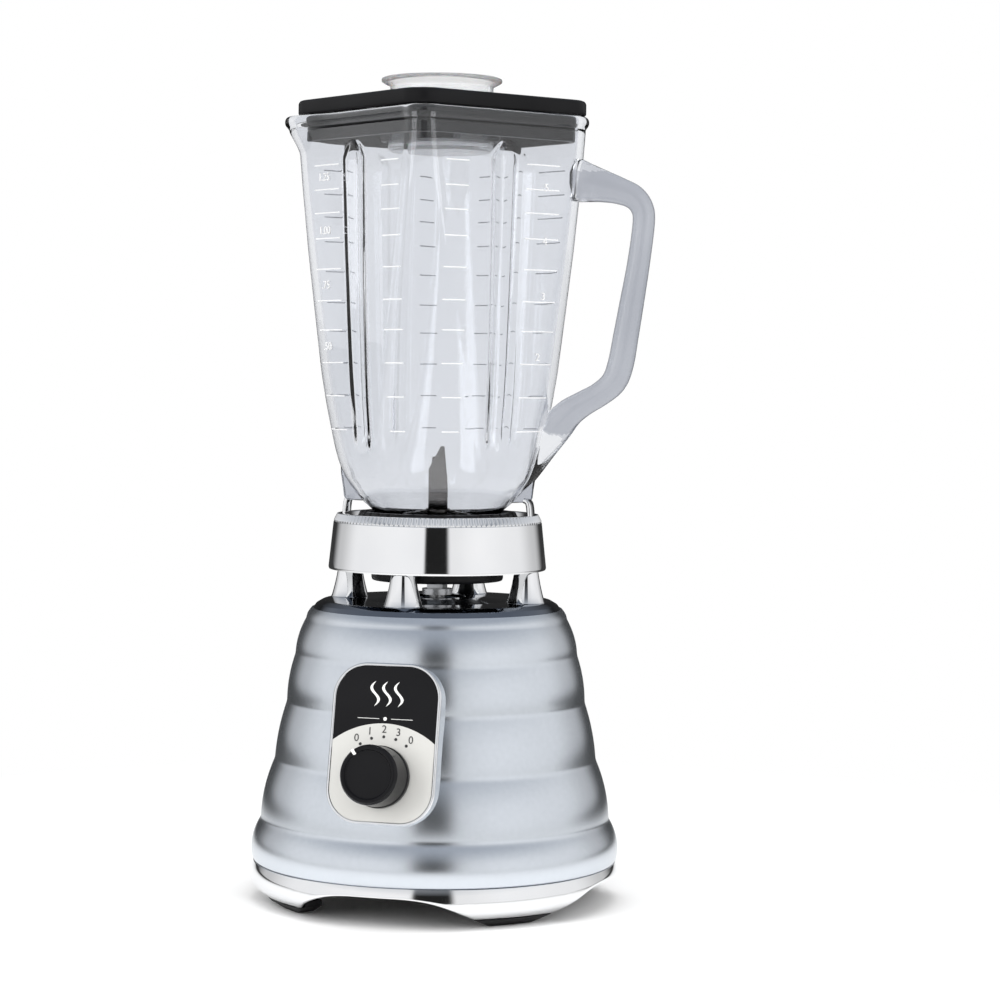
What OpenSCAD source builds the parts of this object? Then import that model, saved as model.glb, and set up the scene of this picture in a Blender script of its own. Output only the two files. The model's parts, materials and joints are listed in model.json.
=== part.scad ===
// Countertop blender: ribbed metal base, lift-off glass jar, lid and filler cap.
// Millimetres, +Z up. The origin is on the base axis, on the surface the feet stand on.
// The control plate faces -Y. The jar handle points toward +X, turned by jar_turn.

/* [Body] */
// Height of each rib of the body, from the lowest up
rib_heights = [20.7, 30, 29, 24, 18]; // [15:0.1:35]
// Radius of the valley below each rib, and of the shoulder on top
rib_radii = [91.8, 88.1, 81.2, 75.3, 71.2, 65.9]; // [60:0.1:95]
// How far each rib bulges out
rib_bulges = [2.4, 1.6, 1.0, 1.05, 1.2]; // [0:0.05:3]
// Sheet thickness of the body
shell_t = 1.2; // [0.8:0.1:2]

/* [Skirt and feet] */
// Largest radius of the skirt
skirt_r = 93.4; // [90:0.1:96]
// Height of the joint between skirt and body
skirt_h = 20.3; // [18:0.1:24]
// Height of the arches between the feet
arch_h = 15.4; // [10:0.1:17]
// Radius of the arches
arch_r = 115; // [105:1:125]
// Height of the rubber feet below the skirt
foot_h = 4.2; // [3:0.1:5]

/* [Deck and collar] */
// Radius of the circle that the four posts stand on
post_circle_r = 47.5; // [46:0.1:48]
// Turn of the posts from the front, in degrees
post_turn = -2.4; // [-4:0.2:4]
// Height of the flat part of the deck
deck_z = 151.3; // [150:0.1:152]
// Height of the ring's lower edge
ring_z = 166.8; // [165:0.1:168]
// Height of the ring
ring_h = 28.2; // [27:0.1:29]
// Outer radius of the ring at its lower edge
ring_r = 55; // [54:0.1:57]

/* [Control panel] */
// Width of the control plate
panel_w = 55; // [50:0.5:58]
// Height of the control plate
panel_h = 78; // [74:0.5:80]
// Height of the plate's centre
panel_z = 88; // [86:0.5:90]
// Distance of the plate's centre from the axis
panel_out = 81.5; // [81:0.1:83]
// Lean of the plate, in degrees
panel_tilt = 11.5; // [9:0.5:13]
// Knob diameter
knob_d = 30; // [26:0.5:34]
// Knob length
knob_l = 20; // [15:0.5:24]
// Angle from each end position of the knob to the middle one
knob_swing = 37; // [30:0.5:45]

/* [Motor] */
// Width across the stator stack
stator_w = 76; // [70:1:80]
// Height of the stator stack
stack_h = 36; // [30:1:40]
// Rotor radius
rotor_r = 20.6; // [18:0.1:22]
// Motor shaft radius
shaft_r = 4; // [3.5:0.1:4.5]

/* [Jar] */
// Turn of the jar on its base, in degrees
jar_turn = 10; // [10:1:14]
// Glass thickness
glass_t = 3.6; // [3:0.1:4]
// Depth of the flutes in the jar's faces
flute_d = 4.2; // [0:0.1:4.5]
// Width of the handle across the jar's radius
handle_w = 17; // [14:0.5:20]

/* [Blade] */
// Turn of the blades at rest, in degrees
blade_turn = 18; // [0:1:180]
// Height of the tips of the upturned tines
tine_tip_z = 229.6; // [220:0.1:235]

/* [Lid] */
// Thickness of the lid's slab
lid_t = 7.6; // [6:0.1:9]
// Radius of the filler cap's body
cap_r = 26; // [24:0.1:27]
// Height of the filler cap's top edge
cap_top_z = 413.5; // [411:0.1:416]

/* [Hidden] */
$fn = 64;
EPS = 0.01;

// Heights of the body
body_top_z = skirt_h + total(rib_heights, len(rib_heights));
RIB_STEPS = 6;
WIRE_R = 1.3;

// Skirt, with the flange inside its top that carries the bottom cover
skirt_t = 3;
belly_z = 11.5;
flange_r = 87;
flange_top_z = 24;
cover_z = 17.5;
cover_t = 2;
cover_screw_r = 70;
pad_top_z = 7;

// Heights along the motor, all from the deck down
deck_t = 2;
bracket_t = 4;
upper_bracket_z = deck_z - 29.3;
stack_z = upper_bracket_z - 16 - stack_h;
lower_bracket_z = stack_z - 35;
fan_z = lower_bracket_z - 12;
bearing_h = 10;
bearing_r = 9;
bolt_r = 2.2;
bolt_at = 31;
mount_t = 6;
commutator_z = lower_bracket_z + 13;
commutator_h = 14;
commutator_r = 11;

// Heights of the jar's lower parts
seat_z = ring_z + 4.5;
cap_bottom_z = seat_z - 9.9;
cap_rim_z = 196;
neck_bottom_z = 179.5;
gasket_t = 1;
plate_z = neck_bottom_z - gasket_t - 2;
// Height that the two blades meet at
blade_z = cap_bottom_z + 36.6;

// Knob axis, in the control plate's own frame
knob_y = -16;
// Cord inlet at the rear
inlet_z = 45;
inlet_bore_r = 3.6;

// Jar outline by height: [height, half width across the flats, reach at the corners]
JAR_LEVELS = [
    [179.5, 33.2, 33.2], [188, 33.2, 33.2], [191, 31.5, 31.5], [196, 31.7, 31.7], [199.9, 35.9, 36.8],
    [207, 41.2, 43.4], [214, 45, 47.6], [221, 46.6, 50.4], [228, 47.6, 52.4], [236, 48.4, 54.2],
    [251, 49.8, 57.3], [266, 50.8, 59.8], [297, 52.3, 63.6], [327, 53.4, 67.2], [357, 54.3, 70.2],
    [374, 54.7, 71.7], [377.5, 54.8, 71.95], [381, 54.9, 72.2], [386, 55, 72.6], [388.6, 55.1, 72.7],
    [390, 56.6, 74.2], [392.6, 56.6, 74.2], [394.3, 55.4, 73.0]
];
JAR_TOP = JAR_LEVELS[len(JAR_LEVELS) - 1];
JAR_MOUTH = JAR_LEVELS[len(JAR_LEVELS) - 5];
jar_rim_z = JAR_TOP[0];
jar_half = JAR_MOUTH[1];
JAR_SIDES = 88;

// Handle centre line, by the jar's radius and height, with its thickness: [radius, height, thickness]
HANDLE_LINE = [
    [67, 362, 19], [75, 361.5, 18.5], [83, 359.5, 15.5], [92, 357, 13], [99, 353, 12], [102, 345, 11],
    [99.5, 322, 11], [95, 290, 12.5], [91.5, 270, 13], [87, 261, 12.5], [79, 254, 12.5], [66, 247, 14],
    [55, 240, 17]
];

function lerp(a, b, t) = a + (b - a) * t;
function total(v, n) = n == 0 ? 0 : v[n - 1] + total(v, n - 1);
function flipped(points) = [for (i = [len(points) - 1 : -1 : 0]) points[i]];
function clamp01(t) = min(1, max(0, t));
function smooth(t) = clamp01(t) * clamp01(t) * (3 - 2 * clamp01(t));

// Ribbed outline of the body from its lower edge to its shoulder, moved in by inset
function rib_outline(inset) = [
    for (i = [0 : len(rib_heights) - 1])
        for (k = [0 : RIB_STEPS - 1])
            let (t = k / RIB_STEPS, bulge = 4 * rib_bulges[i] * t * (1 - t))
                [lerp(rib_radii[i], rib_radii[i + 1], t) + bulge - inset,
                 skirt_h + total(rib_heights, i) + rib_heights[i] * t],
    [rib_radii[len(rib_heights)] - inset, body_top_z]
];

// Barrel outline of the skirt, moved in by inset
function skirt_radius(z) = z < belly_z
    ? skirt_r - 6.6 * pow((belly_z - z) / (belly_z - foot_h), 2)
    : skirt_r - 2 * pow((z - belly_z) / (skirt_h - belly_z), 2);
function skirt_outline(inset) = [
    for (k = [0 : 8])
        let (z = lerp(foot_h, skirt_h, k / 8))
            [skirt_radius(z) - inset, z]
];

// Solid filled by the ribbed body, for fitting parts to its surface
module body_solid() {
    rotate_extrude($fn = 300)
        polygon(concat([[0, skirt_h]], rib_outline(0), [[0, body_top_z]]));
}

// Rectangle with round corners, centred
module rounded_rect(w, h, r) {
    square([w - 2 * r, h], center = true);
    square([w, h - 2 * r], center = true);
    for (x = [-1, 1], y = [-1, 1])
        translate([x * (w / 2 - r), y * (h / 2 - r)])
            circle(r);
}

// Puts its children in the control plate's frame: +Z out of the plate, +Y up along it
module at_panel() {
    translate([0, -panel_out, panel_z])
        rotate([90 - panel_tilt, 0, 0])
            children();
}

module at_knob() {
    at_panel()
        translate([0, knob_y, 0])
            children();
}

// Four copies round the axis, the first at the given angle
module four_round(first) {
    for (a = [0 : 90 : 270])
        rotate([0, 0, first + a])
            children();
}

module tube(r_out, r_in, h) {
    difference() {
        cylinder(r = r_out, h = h);
        translate([0, 0, -1])
            cylinder(r = r_in, h = h + 2);
    }
}

// ---- Base ----

module base_shell() {
    color([0.78, 0.81, 0.85])
        difference() {
            rotate_extrude()
                polygon(concat(rib_outline(0), flipped(rib_outline(shell_t))));
            at_knob()
                translate([0, 0, -12])
                    cylinder(r = 7, h = 20);
            translate([0, 100, inlet_z])
                rotate([90, 0, 0])
                    cylinder(r = 9, h = 30);
        }
}

module base_skirt() {
    color([0.85, 0.86, 0.88])
        difference() {
            union() {
                rotate_extrude()
                    polygon(concat(skirt_outline(0), flipped(skirt_outline(skirt_t))));
                rotate_extrude()
                    polygon([[flange_r, cover_z + cover_t], [flange_r + 3.2, cover_z + cover_t],
                             [flange_r + 3.2, flange_top_z], [flange_r, flange_top_z]]);
            }
            for (a = [0, 90])
                rotate([0, 0, a])
                    translate([0, 0, arch_h - arch_r])
                        rotate([90, 0, 0])
                            cylinder(r = arch_r, h = 220, center = true, $fn = 180);
        }
}

// Tapped lugs that the bottom cover is screwed to, brazed inside the skirt's flange
module cover_lugs() {
    z = cover_z + cover_t;
    color([0.62, 0.63, 0.65])
        four_round(0)
            difference() {
                intersection() {
                    translate([cover_screw_r - 7, -6, z])
                        cube([40, 12, flange_top_z - z]);
                    translate([0, 0, z - 1])
                        cylinder(r = flange_r, h = 10, $fn = 180);
                }
                translate([cover_screw_r, 0, z - 1])
                    cylinder(r = 1.8, h = 10);
            }
}

module foot_pads() {
    color([0.05, 0.05, 0.05])
        for (a = [45 : 90 : 315])
            rotate([0, 0, a - 13])
                rotate_extrude(angle = 26)
                    polygon([[72, 0], [82.5, 0], [85.6, 1.8], [86.7, foot_h], [83.4, foot_h],
                             [83.4, pad_top_z], [72, pad_top_z]]);
}

module bottom_cover() {
    color([0.1, 0.1, 0.1])
        difference() {
            union() {
                translate([0, 0, cover_z])
                    cylinder(r = flange_r - 0.5, h = cover_t);
                for (a = [45 : 90 : 315])
                    rotate([0, 0, a - 10])
                        rotate_extrude(angle = 20)
                            polygon([[73, pad_top_z], [82.5, pad_top_z],
                                     [82.5, cover_z], [73, cover_z]]);
            }
            for (a = [15 : 30 : 345])
                rotate([0, 0, a])
                    translate([26, -2, cover_z - 1.5])
                        cube([32, 4, 5]);
            four_round(0)
                translate([cover_screw_r, 0, cover_z - 1.5])
                    cylinder(r = 2.1, h = 5);
        }
}

module bottom_screws() {
    color([0.7, 0.7, 0.7])
        four_round(0)
            translate([cover_screw_r, 0, 0])
                difference() {
                    union() {
                        translate([0, 0, cover_z - 2.2])
                            cylinder(r = 3.8, h = 2.2);
                        translate([0, 0, cover_z - EPS])
                            cylinder(r = 1.75, h = 7);
                    }
                    translate([0, 0, cover_z - 2.5])
                        for (turn = [0, 90])
                            rotate([0, 0, turn])
                                translate([-2.4, -0.4, 0])
                                    cube([4.8, 0.8, 1.4]);
                }
}

module top_deck() {
    shoulder = rib_radii[len(rib_heights)];
    dome_z = deck_z + 1.7;
    edge_z = body_top_z + 0.3;
    color([0.4, 0.42, 0.45])
        difference() {
            union() {
                rotate_extrude()
                    polygon([[shoulder, edge_z], [shoulder - 1.2, edge_z + 1.8],
                             [shoulder - 5, deck_z - 2.2], [shoulder - 8.5, deck_z],
                             [37, deck_z], [20, dome_z], [13, dome_z],
                             [13, dome_z - deck_t], [19.8, dome_z - deck_t], [36.8, deck_z - deck_t],
                             [56, deck_z - deck_t], [60, body_top_z + 4.5], [62, body_top_z + 1.5],
                             [62.7, body_top_z], [62.7, body_top_z - 4], [64.5, body_top_z - 4],
                             [64.5, edge_z]]);
                four_round(post_turn)
                    translate([post_circle_r, 0, upper_bracket_z + bracket_t + mount_t])
                        cylinder(r = 7, h = deck_z - deck_t - upper_bracket_z - bracket_t - mount_t + 0.5);
            }
            four_round(post_turn)
                translate([post_circle_r, 0, upper_bracket_z])
                    cylinder(r = 2.1, h = 40);
        }
}

module collar_posts() {
    color([0.86, 0.87, 0.89])
        four_round(post_turn)
            translate([post_circle_r, 0, 0])
                difference() {
                    rotate_extrude()
                        polygon([[0, deck_z], [9.6, deck_z], [9.3, deck_z + 0.8], [8.6, deck_z + 3.2],
                                 [7.2, deck_z + 9], [6, ring_z], [0, ring_z]]);
                    translate([0, 0, deck_z - 1])
                        cylinder(r = 1.9, h = 11);
                }
}

module collar_ring() {
    top = ring_z + ring_h;
    color([0.86, 0.87, 0.89])
        rotate([0, 0, post_turn]) {
            rotate_extrude()
                polygon([[ring_r - 0.3, ring_z], [ring_r, ring_z + 0.8], [52.2, top - 3.7], [50.3, top],
                         [46.9, top], [46.3, top - 0.8], [44.2, seat_z], [37, seat_z], [36.6, seat_z - 0.6],
                         [36.6, ring_z + 2.2], [46.6, ring_z + 2.2], [48.8, top - 4.4], [50.2, top - 4.8],
                         [52.4, ring_z]]);
            four_round(0)
                translate([post_circle_r, 0, ring_z])
                    cylinder(r = 5.6, h = 4);
        }
}

module jar_guides() {
    top = ring_z + ring_h;
    color([0.86, 0.87, 0.89])
        for (a = [0, 180])
            rotate([90, 0, a])
                linear_extrude(height = 8, center = true)
                    polygon([[47.4, top], [50.1, top], [49.7, top + 6], [48.6, top + 7.7],
                             [46.4, top + 8.5], [45.9, top + 7.1], [47.2, top + 6]]);
}

module post_screws() {
    color([0.7, 0.7, 0.7])
        four_round(post_turn)
            translate([post_circle_r, 0, 0]) {
                translate([0, 0, upper_bracket_z - 3])
                    cylinder(r = 4, h = 3, $fn = 6);
                translate([0, 0, upper_bracket_z - EPS])
                    cylinder(r = 1.8, h = deck_z + 8 - upper_bracket_z);
            }
}

// ---- Control panel ----

// The grey lower field of the plate: an arc on top, the plate's outline elsewhere
module grey_field() {
    arc_r = 42;
    arc_y = knob_y + 25.8 - arc_r;
    translate([0, arc_y])
        circle(arc_r);
    translate([-arc_r, arc_y - arc_r])
        square([2 * arc_r, arc_r]);
}

module panel_outline(inset) {
    rounded_rect(panel_w - 2 * inset, panel_h - 2 * inset, 12.5 - inset);
}

module control_bezel() {
    rim = 1.7;
    color([0.8, 0.81, 0.83])
        difference() {
            at_panel()
                translate([0, 0, -11])
                    linear_extrude(height = 11)
                        panel_outline(0);
            body_solid();
            at_panel()
                translate([0, 0, -0.9])
                    linear_extrude(height = 2)
                        panel_outline(rim);
            at_knob()
                translate([0, 0, -12])
                    cylinder(r = 7, h = 20);
        }
}

module control_face_black() {
    color([0.03, 0.03, 0.035])
        at_panel()
            translate([0, 0, -0.9])
                linear_extrude(height = 0.6)
                    difference() {
                        panel_outline(1.7);
                        grey_field();
                    }
}

module control_face_grey() {
    color([0.78, 0.77, 0.74])
        at_panel()
            translate([0, 0, -0.9])
                difference() {
                    linear_extrude(height = 0.6)
                        intersection() {
                            panel_outline(1.7);
                            grey_field();
                        }
                    translate([0, knob_y, -1])
                        cylinder(r = 7, h = 3);
                }
}

module dial_marks() {
    color([0.1, 0.1, 0.1])
        at_knob()
            for (i = [-2 : 2])
                rotate([0, 0, -i * knob_swing / 2])
                    translate([0, 19.4, -0.3])
                        cylinder(r = 0.8, h = 0.2);
}

module switch_body() {
    color([0.16, 0.16, 0.17])
        at_knob()
            difference() {
                union() {
                    translate([-14, -14, -22])
                        cube([28, 28, 14]);
                    translate([0, 0, -8 - EPS])
                        cylinder(r = 6.8, h = 10.4);
                }
                translate([0, 0, -20])
                    cylinder(r = 3.06, h = 30);
            }
}

module switch_nut() {
    color([0.75, 0.76, 0.78])
        at_knob()
            translate([0, 0, -0.3])
                difference() {
                    cylinder(r = 9, h = 2.2, $fn = 6);
                    translate([0, 0, -1])
                        cylinder(r = 6.85, h = 5, $fn = 48);
                }
}

module switch_terminals() {
    color([0.75, 0.6, 0.3])
        at_knob()
            for (x = [-9, -3, 3, 9])
                translate([x - 0.4, -3, -29])
                    cube([0.8, 6, 7]);
}

module cord_inlet() {
    color([0.08, 0.08, 0.08])
        difference() {
            union() {
                difference() {
                    translate([0, 95, inlet_z])
                        rotate([90, 0, 0])
                            cylinder(r = 11.5, h = 15);
                    body_solid();
                }
                translate([0, 94, inlet_z])
                    rotate([90, 0, 0])
                        cylinder(r = 8.9, h = 14);
            }
            translate([0, 110, inlet_z])
                rotate([90, 0, 0])
                    cylinder(r = inlet_bore_r, h = 40);
            translate([0, 93, inlet_z])
                rotate([-90, 0, 0])
                    cylinder(r1 = inlet_bore_r, r2 = inlet_bore_r + 2.5, h = 2.5);
        }
}

// ---- Motor, standing still ----

module corner_posts(z, h) {
    for (x = [-1, 1], y = [-1, 1])
        translate([x * bolt_at, y * bolt_at, z])
            cylinder(r = 4.6, h = h);
}

module corner_holes(r) {
    for (x = [-1, 1], y = [-1, 1])
        translate([x * bolt_at, y * bolt_at, 0])
            cylinder(r = r, h = deck_z);
}

module motor_stator() {
    color([0.42, 0.43, 0.45])
        difference() {
            translate([0, 0, stack_z])
                linear_extrude(height = stack_h)
                    rounded_rect(stator_w, stator_w, 9);
            translate([0, 0, stack_z - 1])
                cylinder(r = rotor_r + 0.6, h = stack_h + 2);
            for (a = [0, 180])
                rotate([0, 0, a])
                    translate([22, -16, stack_z - 1])
                        cube([9, 32, stack_h + 2]);
            corner_holes(bolt_r + 0.1);
        }
}

module coil(z, h) {
    for (a = [-62, 118])
        rotate([0, 0, a])
            translate([0, 0, z])
                rotate_extrude(angle = 124)
                    polygon([[22.5, 0], [33, 0], [34, h * 0.5], [32, h], [24.5, h], [22.5, h * 0.6]]);
}

module field_coils() {
    color([0.66, 0.32, 0.13]) {
        coil(stack_z + stack_h, 9);
        mirror([0, 0, 1])
            coil(-stack_z, 9);
        for (a = [0, 180])
            rotate([0, 0, a])
                translate([22.6, -15, stack_z - EPS])
                    cube([8, 30, stack_h + 2 * EPS]);
    }
}

// Cross-shaped bearing bracket whose feet reach the stator stack
module bearing_bracket(z, post_z, post_h, arm) {
    difference() {
        union() {
            for (turn = [45, 135])
                rotate([0, 0, turn])
                    translate([-49, -7, z])
                        cube([98, 14, bracket_t]);
            if (arm > 0)
                for (turn = [0, 90])
                    rotate([0, 0, post_turn + turn])
                        translate([-arm, -8, z])
                            cube([2 * arm, 16, bracket_t]);
            translate([0, 0, z])
                cylinder(r = bearing_r + 5, h = bearing_h);
            corner_posts(post_z, post_h);
        }
        translate([0, 0, z - 1])
            cylinder(r = bearing_r + 0.05, h = bearing_h + 2);
        corner_holes(bolt_r + 0.1);
        four_round(post_turn)
            translate([post_circle_r, 0, z - 1])
                cylinder(r = 2.1, h = bracket_t + 2);
    }
}

module upper_bracket() {
    color([0.62, 0.63, 0.65])
        bearing_bracket(upper_bracket_z, stack_z + stack_h, upper_bracket_z - stack_z - stack_h + EPS, 55);
}

module lower_bracket() {
    color([0.62, 0.63, 0.65])
        bearing_bracket(lower_bracket_z, lower_bracket_z, stack_z - lower_bracket_z, 0);
}

module bearing(z) {
    translate([0, 0, z])
        tube(bearing_r, shaft_r + 0.05, bearing_h);
}

module upper_bearing() {
    color([0.7, 0.58, 0.32])
        bearing(upper_bracket_z);
}

module lower_bearing() {
    color([0.7, 0.58, 0.32])
        bearing(lower_bracket_z);
}

module brush_plate() {
    color([0.45, 0.22, 0.12])
        translate([0, 0, commutator_z - 2])
            difference() {
                union() {
                    cylinder(r = 34, h = 2.5);
                    for (turn = [45, 135])
                        rotate([0, 0, turn])
                            translate([-50, -6, 0])
                                cube([100, 12, 2.5]);
                }
                translate([0, 0, -1])
                    cylinder(r = 15, h = 5);
                for (x = [-1, 1], y = [-1, 1])
                    translate([x * bolt_at, y * bolt_at, -1])
                        cylinder(r = 4.7, h = 5);
            }
}

module brush_holders() {
    color([0.76, 0.6, 0.28])
        for (a = [0, 180])
            rotate([0, 0, a])
                translate([commutator_r + 3, -6, commutator_z + 0.5])
                    difference() {
                        cube([20, 12, 12]);
                        translate([-1, 1.9, 1.9])
                            cube([19, 8.2, 8.2]);
                    }
}

module carbon_brushes() {
    color([0.15, 0.15, 0.16])
        for (a = [0, 180])
            rotate([0, 0, a])
                difference() {
                    translate([commutator_r - 1, -4, commutator_z + 2.5])
                        cube([17, 8, 8]);
                    translate([0, 0, commutator_z])
                        cylinder(r = commutator_r + 0.3, h = commutator_h);
                }
}

module motor_bolts() {
    top = upper_bracket_z + bracket_t;
    color([0.72, 0.72, 0.73])
        for (x = [-1, 1], y = [-1, 1])
            translate([x * bolt_at, y * bolt_at, 0]) {
                translate([0, 0, lower_bracket_z - 3])
                    cylinder(r = 4, h = 3, $fn = 6);
                translate([0, 0, lower_bracket_z - EPS])
                    cylinder(r = bolt_r, h = top - lower_bracket_z + 2 * EPS);
                translate([0, 0, top])
                    cylinder(r = 4, h = 3, $fn = 6);
            }
}

module motor_mounts() {
    color([0.07, 0.07, 0.07])
        four_round(post_turn)
            translate([post_circle_r, 0, upper_bracket_z + bracket_t])
                tube(7.5, 2.1, mount_t);
}

// Insulated lead through a few corners
module wire(points) {
    for (i = [0 : len(points) - 2])
        hull() {
            translate(points[i])
                sphere(WIRE_R, $fn = 10);
            translate(points[i + 1])
                sphere(WIRE_R, $fn = 10);
        }
}

module lead_wires() {
    color([0.7, 0.08, 0.06]) {
        wire([[9, -54.8, 66.5], [16, -50, 62], [52, -34, 50], [62, 10, 40], [40, 60, 40], [4, 74, 44]]);
        wire([[-9, -54.8, 66.5], [-16, -50, 62], [-52, -34, 50], [-62, 10, 40], [-40, 60, 40], [-4, 74, 46]]);
        wire([[3, -54.8, 66.5], [24, -49, 62], [44, -30, 56], [37, -8, 54], [35.6, 0, 54]]);
    }
}

// ---- Knob ----

module knob() {
    r = knob_d / 2;
    color([0.03, 0.03, 0.03])
        at_knob()
            difference() {
                rotate_extrude()
                    polygon([[3.05, 4], [11, 4], [11, 0.6], [r - 0.6, 0.6], [r, 1.2], [r, 5],
                             [r - 0.5, knob_l - 1.6], [r - 1.2, knob_l - 0.4], [r - 2, knob_l],
                             [r - 2.8, knob_l - 0.3], [r - 3.4, knob_l - 1.2], [0, knob_l - 1.2],
                             [0, 16], [3.05, 16]]);
                rotate([0, 0, knob_swing])
                    translate([-0.8, r - 3.2, knob_l - 0.6])
                        cube([1.6, 4, 2]);
            }
}

module knob_marker() {
    r = knob_d / 2;
    color([0.95, 0.95, 0.93])
        at_knob()
            rotate([0, 0, knob_swing])
                translate([-0.7, r - 3, knob_l - 0.6])
                    cube([1.4, 2.2, 0.7]);
}

module switch_shaft() {
    color([0.75, 0.76, 0.78])
        at_knob()
            translate([0, 0, -19])
                cylinder(r = 3, h = 34.9);
}

// ---- Motor, turning ----

module motor_shaft() {
    color([0.72, 0.73, 0.75])
        translate([0, 0, fan_z - 2])
            cylinder(r = shaft_r, h = deck_z + 8 - fan_z);
}

module rotor_core() {
    color([0.4, 0.41, 0.43])
        translate([0, 0, stack_z])
            difference() {
                tube(rotor_r, shaft_r, stack_h);
                for (a = [0 : 30 : 330])
                    rotate([0, 0, a])
                        translate([rotor_r - 6, -1, -1])
                            cube([8, 2, stack_h + 2]);
            }
}

module winding_end() {
    difference() {
        cylinder(r1 = rotor_r - 1.6, r2 = rotor_r - 6, h = 7);
        translate([0, 0, -1])
            cylinder(r = shaft_r, h = 9);
    }
}

module rotor_windings() {
    color([0.7, 0.36, 0.15]) {
        translate([0, 0, stack_z + stack_h])
            winding_end();
        translate([0, 0, stack_z])
            mirror([0, 0, 1])
                winding_end();
    }
}

module commutator() {
    color([0.72, 0.4, 0.2])
        translate([0, 0, commutator_z])
            difference() {
                tube(commutator_r, shaft_r, commutator_h);
                for (a = [0 : 18 : 342])
                    rotate([0, 0, a])
                        translate([commutator_r - 1, -0.25, -1])
                            cube([3, 0.5, commutator_h - 1]);
            }
}

module cooling_fan() {
    color([0.2, 0.2, 0.22])
        translate([0, 0, fan_z])
            difference() {
                union() {
                    cylinder(r = 8, h = 9);
                    translate([0, 0, 7.5])
                        cylinder(r = 37, h = 1.5);
                    for (a = [0 : 30 : 330])
                        rotate([0, 0, a])
                            translate([14, -0.8, 0])
                                cube([22.5, 1.6, 7.5 + EPS]);
                }
                translate([0, 0, -1])
                    cylinder(r = shaft_r, h = 12);
            }
}

module drive_coupling() {
    stud = 8.2;
    color([0.66, 0.67, 0.69])
        difference() {
            union() {
                translate([0, 0, deck_z + 2.8])
                    cylinder(r = 7.6, h = 3);
                translate([-stud / 2, -stud / 2, deck_z + 5.8 - EPS])
                    cube([stud, stud, 8.4]);
            }
            translate([0, 0, deck_z])
                cylinder(r = shaft_r, h = 6.05);
        }
}

module shaft_slinger() {
    color([0.1, 0.1, 0.1])
        translate([0, 0, deck_z - 8])
            tube(11, shaft_r, 2.4);
}

// ---- Jar ----

// Radius of a rounded square at angle a from the middle of a face
function rounded_radius(a, half, corner) =
    let (s = sin(abs(a)), c = cos(a), inner = half - corner)
        half * s / c <= inner
            ? half / c
            : inner * (c + s) + sqrt(max(0, corner * corner - inner * inner * (c - s) * (c - s)));

// How far a flute's floor is drawn in, beside the middle of a face
function flute_dent(side, z) =
    let (w = lerp(5.2, 8, clamp01((z - 225) / 150)),
         run = smooth((z - 224) / 14) * smooth((381 - z) / 8),
         u = side / w)
        abs(u) < 1 ? flute_d * run * (1 - u * u) : 0;

// Pouring lip at one corner
function lip(a, z) = 5.2 * exp(-pow(a / 11, 2)) * smooth((z - 376) / 14);

// Point of the jar's wall at angle a, level l, drawn in by inset. Angle 0 is the handle's corner.
function jar_point(a, l, inset) =
    let (z = JAR_LEVELS[l][0],
         half = JAR_LEVELS[l][1] - inset,
         reach = JAR_LEVELS[l][2] - inset,
         corner = min(half, max(4, (half * sqrt(2) - reach) / (sqrt(2) - 1))),
         face = (a % 90) - 45,
         r = rounded_radius(face, half, corner),
         dent = flute_dent(r * sin(face), z),
         radius = r - dent / cos(face) + lip(a - 180, z))
        [radius * cos(a), radius * sin(a), z];

// Solid bounded by the jar's wall
module jar_solid(inset, first_dz, last_dz) {
    n = JAR_SIDES;
    m = len(JAR_LEVELS);
    points = [
        for (l = [0 : m - 1])
            for (i = [0 : n - 1])
                jar_point(i * 360 / n, l, inset) + [0, 0, l == 0 ? first_dz : l == m - 1 ? last_dz : 0]
    ];
    sides = [
        for (l = [0 : m - 2])
            for (i = [0 : n - 1])
                let (j = (i + 1) % n)
                    each [[l * n + i, (l + 1) * n + i, (l + 1) * n + j],
                          [l * n + i, (l + 1) * n + j, l * n + j]]
    ];
    floor_ring = [for (i = [0 : n - 1]) i];
    rim_ring = [for (i = [n - 1 : -1 : 0]) (m - 1) * n + i];
    polyhedron(points = points, faces = concat(sides, [floor_ring, rim_ring]), convexity = 8);
}

module handle_bead(p) {
    translate([p[0], 0, p[1]])
        scale([p[2] / 2, handle_w / 2, p[2] / 2])
            sphere(1, $fn = 20);
}

module jar_handle() {
    for (i = [0 : len(HANDLE_LINE) - 2])
        hull() {
            handle_bead(HANDLE_LINE[i]);
            handle_bead(HANDLE_LINE[i + 1]);
        }
}

module jar_wings() {
    for (a = [0, 180])
        rotate([90, 0, a])
            linear_extrude(height = 6, center = true)
                polygon([[40, 222], [50, 222], [49, 214], [48, 206], [47.4, 202.4], [45.8, 200.8],
                         [36.4, 200.8], [36.4, 204]]);
}

module glass_jar() {
    color([0.8, 0.86, 0.88, 0.4])
        rotate([0, 0, jar_turn])
            difference() {
                union() {
                    jar_solid(0, 0, 0);
                    jar_handle();
                    jar_wings();
                }
                jar_solid(glass_t, -1, 1);
            }
}

module jar_gasket() {
    color([0.75, 0.72, 0.68])
        translate([0, 0, neck_bottom_z - gasket_t])
            tube(33, 29.8, gasket_t);
}

module bottom_cap() {
    color([0.03, 0.03, 0.03])
        difference() {
            rotate_extrude()
                polygon([[11.2, cap_bottom_z], [32.8, cap_bottom_z], [33.3, cap_bottom_z + 0.6],
                         [33.3, seat_z + 0.15], [40.2, seat_z + 0.15], [40.6, seat_z + 0.6],
                         [40.6, cap_rim_z - 2], [39.4, cap_rim_z], [35.4, cap_rim_z],
                         [34.2, cap_rim_z - 2], [34.2, plate_z], [29, plate_z],
                         [27, cap_bottom_z + 4], [11.2, cap_bottom_z + 4]]);
            for (a = [0 : 15 : 345])
                rotate([0, 0, a])
                    translate([41.6, 0, seat_z + 4])
                        cylinder(r = 1.6, h = 30, $fn = 24);
        }
}

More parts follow.
